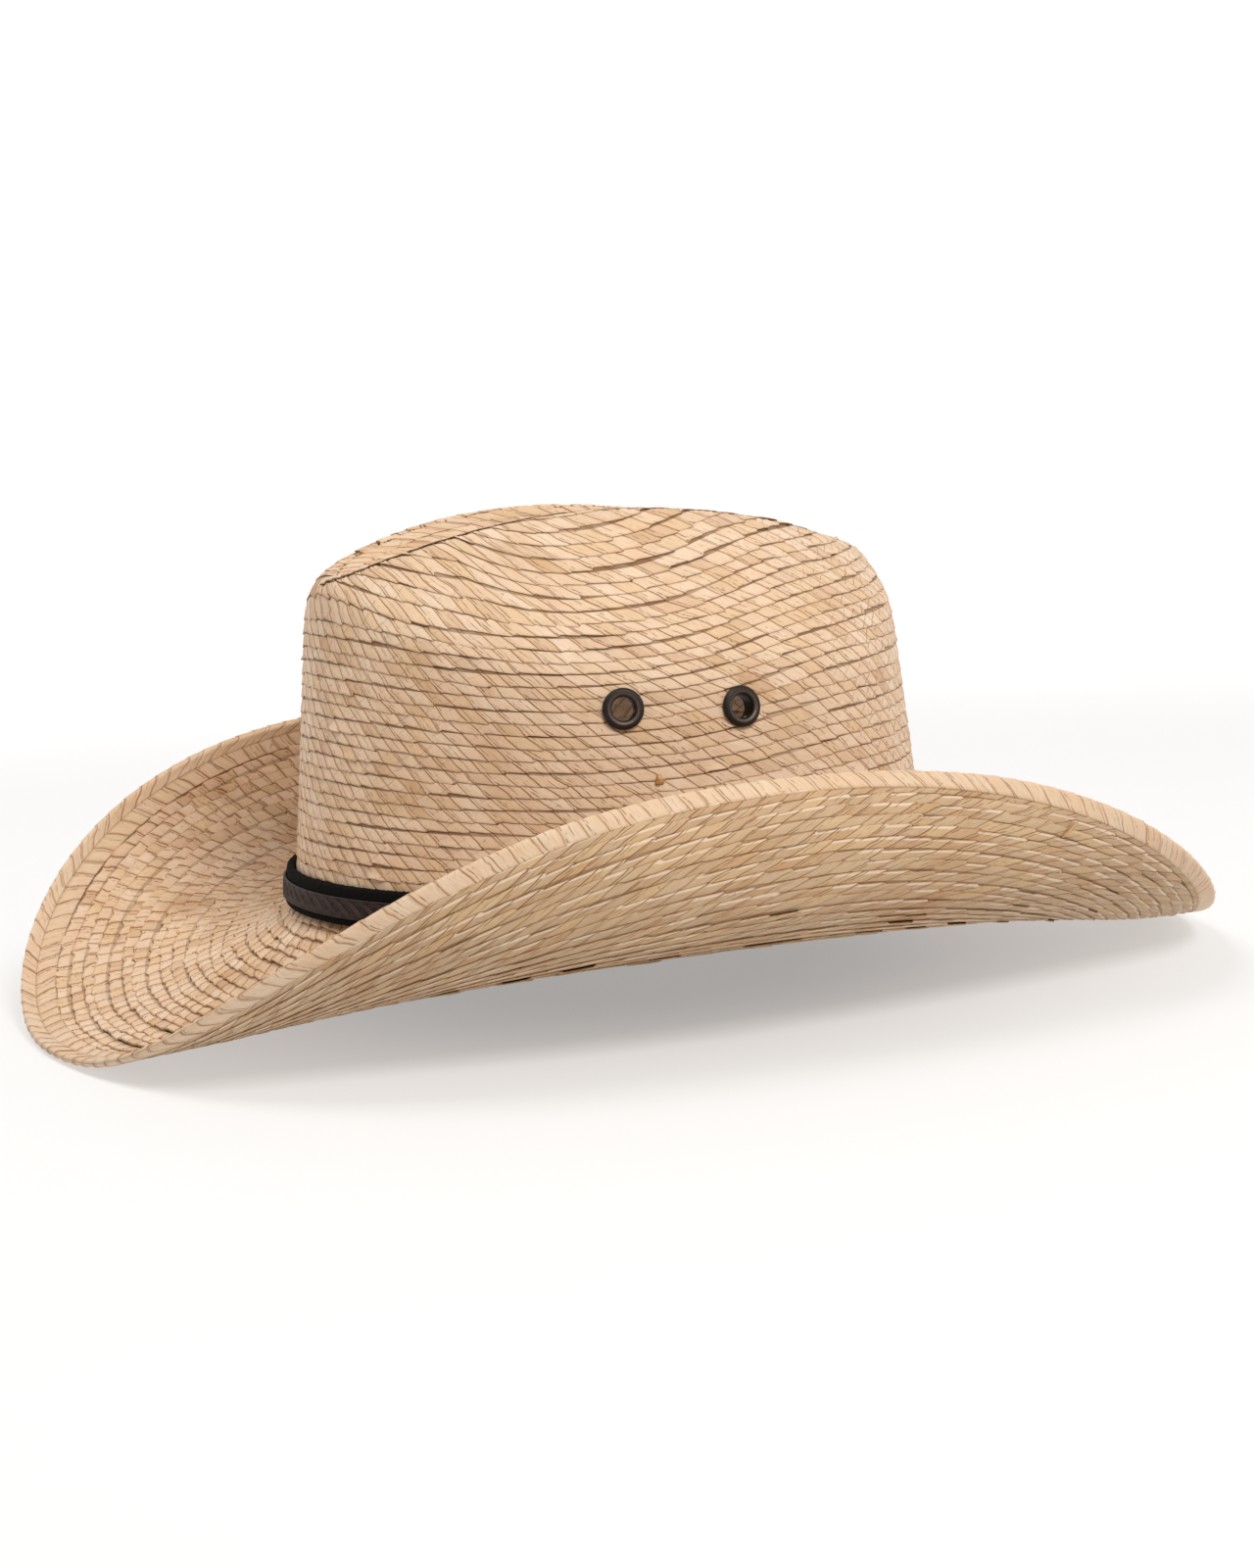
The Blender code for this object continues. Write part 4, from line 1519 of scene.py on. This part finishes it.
@dataclass
class Hatband:
    """Felt band, embossed strip with an interlaced zigzag, and a stitched lap."""

    form: CrownForm
    off_crown: float = 0.5
    height: float = 11.5
    thick: float = 2.4
    strip_low: float = 2.2
    strip_high: float = 8.2
    strip_thick: float = 0.8
    gap: float = 0.3
    repeats: int = 33
    lap_angle: float = 62.0
    lap_length: float = 24.0

    def base(self, finish: bpy.types.Material) -> None:
        """Felt band with a soft, thick and slightly uneven top edge.

        Args:
            finish: felt.
        """
        inner, outer, top = self.off_crown, self.off_crown + self.thick, self.height
        t = np.linspace(0, math.pi, 11)
        middle, half = (inner + outer) / 2, self.thick / 2
        crest = np.stack([middle + half * np.cos(t), top - 1.0 + 1.0 * np.sin(t)], -1)
        face = np.stack([np.full(6, outer), np.linspace(0.5, top - 1.4, 6)], -1)
        foot = np.array([[inner, 0.05], [outer - 0.4, 0.05]])
        section = np.concatenate([foot, face, crest, [[inner, top * 0.4]]])
        turn = np.linspace(-math.pi, math.pi, 1400, endpoint=False)[:, None]
        rough = 0.10 * np.sin(turn * 173) * np.sin(turn * 61 + 1) + 0.08 * np.sin(turn * 397 + 2)
        height = section[None, :, 1] + rough * smooth(section[None, :, 1], top - 2.5, top)
        offset = section[None, :, 0] + 0.5 * rough * smooth(section[None, :, 1], top - 2.0, top)
        ring = np.broadcast_to(turn, height.shape)
        points = self.form.ring(ring, offset, height)
        core = self.form.ring(ring, np.full_like(height, middle), np.full_like(height, top / 2))
        Piece("hatband_felt", points.reshape(-1, 3), grid_faces(*height.shape, True, True),
              finish, Slot.FELT, Body.BAND, ("hatband_base",),
              outward=(points - core).reshape(-1, 3)).add()

    def emboss(self, turn: np.ndarray, up: np.ndarray) -> np.ndarray:
        """Height 0..1 of the pattern: a three-strap plait between two thin beads.

        Each strap follows a sine wave, a third of a wave behind the one before.  It
        stands high where it falls and dips under the others where it rises, and a
        groove runs along its middle.  Fine slanted cuts fill the ground.

        Args:
            turn: angles round the oval.
            up: place across the strip, 0 to 1.

        Returns:
            Heights, angles by places across.
        """
        phase = turn * self.repeats / TURN
        ground = 0.22 + 0.16 * np.sin(TURN * (4 * phase + 1.6 * up))
        straps = [ground * np.ones_like(up * turn)]
        for lag in (0.0, 1 / 3, 2 / 3):
            wave = TURN * (phase + lag)
            distance = np.abs(up - 0.5 - 0.33 * np.sin(wave)) / (1 + 0.35 * np.abs(np.cos(wave)))
            body = smooth(-distance, -0.125, -0.075)
            groove = 0.34 * smooth(-distance, -0.035, -0.008)
            straps.append(body * (0.70 - 0.30 * np.cos(wave) - groove))
        rim = np.minimum(up, 1 - up)
        bead = 0.8 * smooth(-rim, -0.09, -0.05) * smooth(rim, 0.0, 0.03)
        return np.maximum.reduce([*straps, bead * np.ones_like(straps[0])])

    def strip(self, finish: bpy.types.Material) -> None:
        """Embossed leather strip round the felt.

        Args:
            finish: leather.
        """
        face = self.off_crown + self.thick + self.gap
        low, high = self.strip_low, self.strip_high
        up = np.linspace(0, 1, 25)[None, :]
        turn = np.linspace(-math.pi, math.pi, 2640, endpoint=False)[:, None]
        pattern = self.emboss(turn, up)
        offset = face + self.strip_thick * (0.45 + 0.55 * pattern)
        offset = offset - 0.25 * (smooth(-up, -0.04, 0.0) + smooth(up, 0.96, 1.0))
        height = low + (high - low) * np.broadcast_to(up, pattern.shape)
        back = np.array([high, (low + high) / 2, low])[None, :] * np.ones_like(turn)
        offset = np.concatenate([offset, np.full_like(back, face)], axis=1)
        height = np.concatenate([height, back], axis=1)
        relief = np.concatenate([pattern, np.zeros_like(back)], axis=1)
        ring = np.broadcast_to(turn, height.shape)
        points = self.form.ring(ring, offset, height)
        core = self.form.ring(ring, np.full_like(height, face + 0.3), np.full_like(height, 5.2))
        values = {"relief": np.repeat(relief.reshape(-1, 1), 3, 1)}
        Piece("hatband_strip_embossed", points.reshape(-1, 3),
              grid_faces(*height.shape, True, True), finish, Slot.LEATHER, Body.BAND,
              ("hatband_strip",), values, (points - core).reshape(-1, 3)).add()

    def lap(self, finish: bpy.types.Material, thread: bpy.types.Material) -> None:
        """Rounded patch over the joint of the strip, with a line of stitches round it.

        Args:
            finish: leather.
            thread: thread of the stitches.
        """
        inner = self.off_crown + self.thick + self.gap + self.strip_thick + self.gap
        half = self.lap_length / 2
        u = np.linspace(-1, 1, 33)[:, None]
        t = np.linspace(0, TURN, 28, endpoint=False)[None, :]
        squeeze = (1 - np.abs(u) ** 8) ** 0.5
        cosine, sine = np.cos(t), np.sin(t)
        tall = np.sign(sine) * np.abs(sine) ** 0.35
        deep = np.sign(cosine) * np.abs(cosine) ** 0.6
        offset = inner + 0.5 + 0.5 * deep * np.maximum(squeeze, 0.05)
        height = 5.5 + 4.8 * tall * np.maximum(squeeze, 0.05)
        angle = math.radians(self.lap_angle) + u * half / self.form.half_width
        points = self.form.ring(np.broadcast_to(angle, height.shape), offset, height)
        count = height.shape[1]
        caps = (tuple(range(count)), tuple(len(u) * count - 1 - k for k in range(count)))
        flat = np.repeat(np.full((points.size // 3, 1), 0.65), 3, 1)
        core = self.form.ring(np.broadcast_to(angle, height.shape),
                              np.full_like(height, inner + 0.5), np.full_like(height, 5.5))
        Piece("hatband_lap_patch", points.reshape(-1, 3), grid_faces(*height.shape, False, True),
              finish, Slot.LEATHER, Body.BAND, ("hatband_lap",), {"relief": flat},
              (points - core).reshape(-1, 3), caps).add()
        spots = []
        for k in np.linspace(-0.82, 0.82, 9):
            spots += [(k, 0.78), (k, -0.78)]
        spots += [(s, v) for s in (-0.9, 0.9) for v in (-0.4, 0.0, 0.4)]
        self.stitches("hatband_lap_stitches", spots, inner + 1.02, thread)

    def stitches(self, name: str, spots: list[tuple[float, float]], offset: float,
                 thread: bpy.types.Material) -> None:
        """Small thread humps set on the lap, each a stretched ball of a few faces.

        Args:
            name: name of the piece.
            spots: places along and up the lap, each from -1 to 1.
            offset: distance of the stitches from the wall.
            thread: thread.
        """
        _, _, unit = ball(6, 8)
        every, faces, facing = [], [], []
        for number, (along, up) in enumerate(spots):
            upright = abs(along) > 0.85
            long_u, long_v = (0.22, 0.85) if upright else (0.85, 0.22)
            u = along * self.lap_length / 2 + unit[..., 0] * long_u
            height = 5.5 + 4.8 * up + unit[..., 1] * long_v
            angle = math.radians(self.lap_angle) + u / self.form.half_width
            hump = self.form.ring(angle, offset + 0.16 * unit[..., 2], height)
            every.append(hump.reshape(-1, 3))
            facing.append(every[-1] - every[-1].mean(0))
            faces.append(grid_faces(6, 8, False, True) + number * 48)
        Piece(name, np.concatenate(every), np.concatenate(faces), thread, Slot.LEATHER,
              Body.BAND, outward=np.concatenate(facing)).add()


@dataclass
class LooseEnds:
    """The few places where a leaf's end stands out of the braid."""

    crown: CrownForm
    brim: BrimForm

    def knot(self, finish: bpy.types.Material) -> None:
        """Small dried knot on the crown wall: a lumpy ball, flatter outward.

        Args:
            finish: straw.
        """
        centre, outward = self.crown.on_wall(math.radians(-14.6), 42.0)
        level, upright = beside(outward)
        v, w, _ = ball(20, 36)
        lump = 1 + 0.16 * np.sin(3 * w + 2 * v) * np.sin(v) + 0.10 * np.sin(7 * w) * np.sin(v) ** 2
        x = 1.25 * lump * np.sin(v) * np.cos(w)
        y = 1.55 * lump * np.sin(v) * np.sin(w)
        z = 1.05 * lump * np.cos(v)
        points = centre + outward * (z + 0.25)[..., None] + level * x[..., None]
        points = points + upright * y[..., None]
        self.add("crown_leaf_knot", points, v, w, finish, centre)

    def tab(self, finish: bpy.types.Material) -> None:
        """Leaf end that curls off the underside: a thin strip rolled along its length.

        Args:
            finish: straw.
        """
        angle, along = math.radians(27.0), np.linspace(0, 1, 24)
        across = np.linspace(0, TURN, 20, endpoint=False)
        u, w = np.meshgrid(along, across, indexing="ij")
        narrow = np.sqrt(np.clip(1 - (2 * u - 1) ** 6, 0, 1)) * (1 - 0.35 * u)
        wide = 1.5 * narrow * np.cos(w)
        thick = 0.16 * narrow * np.sin(w)
        reach = -13.5 + 5.5 * u + 0.55 * wide
        turn = angle + (wide * 0.85 + 2.4 * u) / 150.0
        middle, normal = self.brim.edge_skin().at(turn, reach)
        lift = 0.9 + 1.3 * u ** 2 + 0.35 * (wide / 1.5) ** 2 * u + thick
        self.add("brim_leaf_end", middle - normal * lift[..., None], u, w, finish, None)

    def add(self, name: str, points: np.ndarray, v: np.ndarray, w: np.ndarray,
            finish: bpy.types.Material, core: np.ndarray | None) -> None:
        """Close a ball or strip of rings and give it the values of one leaf.

        Args:
            name: name of the piece.
            points: rings by points round each ring.
            v: first grid direction.
            w: second grid direction.
            finish: straw material.
            core: centre, or nothing to use each ring's own centre.
        """
        middle = points.mean(axis=1, keepdims=True) if core is None else core
        leaf = 3.37 + 0.5 * w / TURN
        values = {"braid": np.stack([leaf, 0.3 + 0.2 * v / math.pi, 0 * v], -1).reshape(-1, 3),
                  "cross": np.zeros((points.size // 3, 3))}
        Piece(name, points.reshape(-1, 3), grid_faces(*v.shape, False, True), finish,
              Slot.STRAW, values=values, outward=(points - middle).reshape(-1, 3)).add()


@dataclass
class Sweatband:
    """Cloth sweatband standing inside the crown, its stitching and its small bow."""

    form: CrownForm
    thick: float = 1.2
    bottom: float = -3.0
    height: float = 33.0
    clear: float = 1.8

    def band(self, finish: bpy.types.Material) -> None:
        """Tape with a rounded reed along its lower edge and faint upright puckers.

        Args:
            finish: woven tape.
        """
        outside, inside = -self.clear, -self.clear - self.thick
        t = np.linspace(0, math.pi, 9)
        reed = np.stack([(outside + inside) / 2 + self.thick / 2 * np.cos(t),
                         self.bottom + 0.8 - 0.8 * np.sin(t)], -1)
        rise = np.linspace(self.bottom + 1.6, self.bottom + self.height, 12)
        waist = 0.35 * np.exp(-((rise - 1.0) / 1.2) ** 2)
        up = np.stack([inside + waist, rise], -1)
        down = np.stack([np.full(6, outside), rise[::-2]], -1)
        section = np.concatenate([reed, up, down])
        turn = np.linspace(-math.pi, math.pi, 720, endpoint=False)[:, None]
        ring = np.broadcast_to(turn, (720, len(section)))
        pucker = 0.12 * np.sin(turn * 90) * smooth(section[None, :, 1], 0.0, 12.0)
        offset = section[None, :, 0] + pucker * (section[None, :, 0] < outside - 0.2)
        height = np.broadcast_to(section[None, :, 1], offset.shape)
        points = self.form.ring(ring, offset, height)
        core = self.form.ring(ring, np.full_like(height, (outside + inside) / 2), height * 0.6 + 5)
        Piece("sweatband_tape", points.reshape(-1, 3), grid_faces(*height.shape, True, True),
              finish, Slot.CLOTH, replaces=("sweatband",),
              outward=(points - core).reshape(-1, 3)).add()

    def seam(self, thread: bpy.types.Material) -> None:
        """Row of short stitches just above the reed, each a small closed hump.

        Args:
            thread: thread.
        """
        _, _, unit = ball(5, 6)
        number = np.arange(150)[:, None, None]
        angle = TURN * number / 150 + unit[None, ..., 0] * 1.1 / self.form.half_width
        offset = -self.clear - self.thick + 0.2 - 0.22 * unit[None, ..., 2] * np.ones_like(angle)
        height = 1.0 + 0.22 * unit[None, ..., 1] * np.ones_like(angle)
        points = self.form.ring(angle, offset, height)
        facing = points - points.mean(axis=(1, 2), keepdims=True)
        faces = grid_faces(5, 6, False, True)[None] + np.arange(150)[:, None, None] * 30
        Piece("sweatband_stitches", points.reshape(-1, 3), faces.reshape(-1, 4), thread,
              Slot.CLOTH, outward=facing.reshape(-1, 3)).add()

    def bow(self, ribbon: bpy.types.Material) -> None:
        """Ribbon bow at the back seam: two soft loops, two tails and a knot.

        Args:
            ribbon: ribbon.
        """
        _, _, unit = ball(14, 24)
        parts = []
        for sign in (-1.0, 1.0):
            reach = (unit[..., 0] + 1) / 2
            fat = 0.35 + 0.65 * np.sin(math.pi * np.clip(reach, 0, 1) ** 0.8) ** 0.7
            across = sign * (0.6 + 9.6 * reach)
            parts.append((across, 11.8 + 2.6 * unit[..., 1] * fat + 1.4 * reach,
                          0.42 * unit[..., 2] * fat))
            parts.append((sign * (0.4 + 4.4 * reach), 9.4 - 5.8 * reach + 1.3 * unit[..., 1],
                          0.22 * unit[..., 2]))
        parts.append((1.7 * unit[..., 0], 11.0 + 1.9 * unit[..., 1], 0.45 * unit[..., 2]))
        every, faces, facing = [], [], []
        middle = -self.clear - self.thick - 0.3 - 0.6 - 0.45
        for number, (across, height, depth) in enumerate(parts):
            angle = math.pi / 2 - across / self.form.half_width
            points = self.form.ring(angle, middle + depth, height).reshape(-1, 3)
            every.append(points)
            facing.append(points - points.mean(0))
            faces.append(grid_faces(14, 24, False, True) + number * 14 * 24)
        Piece("sweatband_bow_tied", np.concatenate(every), np.concatenate(faces), ribbon,
              Slot.RIBBON, replaces=("sweatband_bow",), outward=np.concatenate(facing)).add()


# ---------------------------------------------------------------- studio


@dataclass(frozen=True)
class Lamp:
    """One square soft light, placed in metres by the camera's axes, aimed at the hat."""

    name: str
    sideways: float
    upward: float
    toward: float
    size: float
    watts: float
    colour: Colour
    aim_height: float = 0.07

    def add(self, right: np.ndarray, back: np.ndarray) -> None:
        """Put the light into the scene.

        Args:
            right: the camera's right.
            back: from the hat to the camera.
        """
        flat = np.array([back[0], back[1], 0.0]) / math.hypot(back[0], back[1])
        spot = right * self.sideways + flat * self.toward + np.array([0.0, 0.0, self.upward])
        data = bpy.data.lights.new(self.name, "AREA")
        data.shape = "SQUARE"
        data.size = self.size
        data.energy = self.watts
        data.color = self.colour
        lamp = bpy.data.objects.new(self.name, data)
        behind = spot - [0.0, 0.0, self.aim_height]
        behind = behind / np.linalg.norm(behind)
        side = np.cross([0.0, 0.0, 1.0], behind)
        side /= np.linalg.norm(side) + 1e-9
        matrix = np.eye(4)
        matrix[:3, 0], matrix[:3, 1], matrix[:3, 2] = side, np.cross(behind, side), behind
        matrix[:3, 3] = spot
        lamp.matrix_world = Matrix(matrix.tolist())
        bpy.context.scene.collection.objects.link(lamp)


@dataclass(frozen=True)
class Studio:
    """Pale floor that sweeps up all round and glows as painted light, soft lights and the camera.
    """

    azimuth: float = 63.07
    elevation: float = 7.74
    roll: float = -1.91
    distance: float = 900.0
    aim: tuple[float, float] = (4.61, 29.41)
    lens: float = 82.57
    air: Colour = (1.0, 0.90, 0.79)
    air_strength: float = 0.24
    lamps: tuple[Lamp, ...] = (
        Lamp("key_light", sideways=0.72, upward=1.50, toward=1.35, size=0.7, watts=27.5,
             colour=(1.0, 0.985, 0.96)),
        Lamp("side_light", sideways=1.6, upward=0.75, toward=0.5, size=0.7, watts=3.0,
             colour=(1.0, 0.95, 0.88)),
        Lamp("top_light", sideways=-0.75, upward=1.9, toward=-0.1, size=1.0, watts=16.0,
             colour=(1.0, 0.98, 0.95)))

    def axes(self) -> tuple[np.ndarray, np.ndarray, np.ndarray]:
        """Right, up and back of the camera before its roll, in headline directions.

        Returns:
            Three unit directions: right, up and back.
        """
        a, e = math.radians(self.azimuth), math.radians(self.elevation)
        back = np.array([math.sin(a) * math.cos(e), -math.cos(a) * math.cos(e), math.sin(e)])
        right = np.array([math.cos(a), math.sin(a), 0.0])
        return right, np.cross(back, right), back

    def camera(self) -> None:
        """Aim the camera and make it the scene's."""
        right, up, back = self.axes()
        aim = right * self.aim[0] + up * self.aim[1]
        eye = STANCE.place(aim + back * self.distance)
        r = math.radians(self.roll)
        across = STANCE.turn(right * math.cos(r) + up * math.sin(r))
        upward = STANCE.turn(up * math.cos(r) - right * math.sin(r))
        behind = STANCE.turn(back)
        data = bpy.data.cameras.new("studio_camera")
        data.sensor_fit = "HORIZONTAL"
        data.sensor_width = 36.0
        data.lens = self.lens
        data.clip_start = 0.01
        data.clip_end = 60.0
        camera = bpy.data.objects.new("studio_camera", data)
        matrix = np.eye(4)
        matrix[:3, 0], matrix[:3, 1], matrix[:3, 2], matrix[:3, 3] = across, upward, behind, eye
        camera.matrix_world = Matrix(matrix.tolist())
        bpy.context.scene.collection.objects.link(camera)
        bpy.context.scene.camera = camera

    def floor(self) -> None:
        """Round floor that curves up into a wall, turned about the hat; it glows, brighter behind
        the hat than toward the camera, and darker in a painted shadow under the hat.
        """
        radius = np.concatenate([np.linspace(0.02, 3.2, 24), 3.2 + 1.4 * np.sin(
            np.linspace(0.05, math.pi / 2, 20))])
        height = np.concatenate([np.zeros(24), 1.4 - 1.4 * np.cos(
            np.linspace(0.05, math.pi / 2, 20))])
        radius, height = np.append(radius, 4.6), np.append(height, 5.0)
        turn = np.linspace(0, TURN, 96, endpoint=False)[:, None]
        points = np.stack([radius * np.cos(turn), radius * np.sin(turn),
                           height * np.ones_like(turn)], -1)
        faces = grid_faces(96, len(radius), True, False)
        mesh = bpy.data.meshes.new("studio_floor")
        centre = tuple(int(k * len(radius)) for k in range(96))
        mesh.from_pydata([tuple(p) for p in points.reshape(-1, 3)], [],
                         [tuple(int(k) for k in f) for f in faces[:, ::-1]] + [centre])
        mesh.polygons.foreach_set("use_smooth", np.full(len(mesh.polygons), True))
        floor = bpy.data.objects.new("studio_floor", mesh)
        bpy.context.scene.collection.objects.link(floor)
        tree = Tree("studio_glowing_paper", Specular_IOR_Level=0.1, Emission_Strength=1.0)
        place = tree.place()
        away = tree.add("ShaderNodeVectorMath", {"operation": "LENGTH"}, {0: place})
        away = Value(tree, away.outputs["Value"])
        back = self.axes()[2]
        x, y, _ = tree.split(place)
        # painted light: the floor glows brighter behind the hat than on the camera's side
        behind = (x * -back[0] + y * -back[1]).ramp(-0.3, 0.9)
        far = away.ramp(0.35, 1.3)
        colour = tree.mix((0.13, 0.11, 0.09), (0.80, 0.80, 0.80), behind)
        # the glow dims near the hat
        colour = tree.mix((0.50, 0.50, 0.50), colour, far)
        # painted shadow: a darker patch of glow under the hat
        colour = tree.mix((0.34, 0.34, 0.34), colour, away.ramp(0.04, 0.20))
        tree.put(tree.shader.inputs["Emission Color"], colour)
        mesh.materials.append(tree.finish((0.40, 0.40, 0.40), 0.9))

    def build(self) -> None:
        """Set up the whole studio."""
        self.floor()
        self.camera()
        right, _, back = self.axes()
        for lamp in self.lamps:
            lamp.add(right, back)
        world = bpy.data.worlds.new("studio_air")
        world.use_nodes = True
        sky = world.node_tree.nodes["Background"]
        sky.inputs["Color"].default_value = (*self.air, 1.0)
        sky.inputs["Strength"].default_value = self.air_strength
        bpy.context.scene.world = world
        bpy.context.scene.view_settings.view_transform = "Standard"


def main() -> None:
    """Load the frame and build every sub-assembly in order."""
    logging.basicConfig(level=logging.INFO, format="%(message)s")
    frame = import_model()
    crown_form = CrownForm()
    brim_form = BrimForm(crown_form)
    Studio().build()
    eyelets = Eyelets(crown_form)
    crown_straw = StrawFinish("straw_crown", patch_share=0.36)
    lining = StrawFinish("straw_lining", seed=40.0)
    top_straw = StrawFinish("straw_brim_top", seed=90.0, patch_share=0.6, row_line=0.42,
                            slit=(0.27, 0.090, 0.022), halo=0.55, drift=0.45)
    # underside straw: the same leaf as the top, with darker pale and rosy tones as painted shade,
    # and a painted highlight along each free edge
    shaded_under_straw = StrawFinish("straw_brim_under_shaded", seed=150.0, painted_edge_highlight=0.55, row_line=0.6,
                              slit_share=0.9, pale=(0.56, 0.40, 0.250),
                              rosy=(0.49, 0.32, 0.180), patch_share=0.45, brown_share=0.5)
    # edge straw: pale tone set a little darker than the crown's, as painted shade
    edge_straw = StrawFinish("straw_edge", seed=210.0, row_line=0.30,
                             pale=(0.72, 0.56, 0.40), slit_share=0.75,
                             patch_share=0.1, brown_share=0.1, gold_share=0.2)
    Crown(crown_form, [(centre, 4.4) for _, centre, _ in eyelets.places()]).build(
        crown_straw.make(), lining.make())
    Brim(brim_form).build(top_straw.make(), shaded_under_straw.make())
    EdgeBraid(brim_form).build(edge_straw.make())
    loose = LooseEnds(crown_form, brim_form)
    knot_straw = StrawFinish("straw_knot", pale=(0.60, 0.36, 0.14), rosy=(0.52, 0.27, 0.09),
                             brown=(0.30, 0.13, 0.04), seed=300.0).make()
    loose.knot(knot_straw)
    loose.tab(knot_straw)
    felt, leather = FeltFinish().make(), LeatherFinish().make()
    thread = ClothFinish("thread_dark", (0.02, 0.014, 0.012), (0.07, 0.05, 0.04), 2500.0).make()
    hatband = Hatband(crown_form)
    hatband.base(felt)
    hatband.strip(leather)
    hatband.lap(leather, thread)
    sweatband = Sweatband(crown_form)
    sweatband.band(ClothFinish("tape_woven", (0.06, 0.045, 0.035), (0.16, 0.12, 0.09)).make())
    sweatband.seam(thread)
    sweatband.bow(ClothFinish("ribbon_satin", (0.09, 0.06, 0.045), (0.2, 0.14, 0.1), 1800.0,
                              0.45).make())
    eyelets.build(BronzeFinish().make())
    wire = frame["nodes"]["brim_edge_wire"]
    wire.material_slots[0].material = SteelFinish().make()


if __name__ == "__main__":
    main()
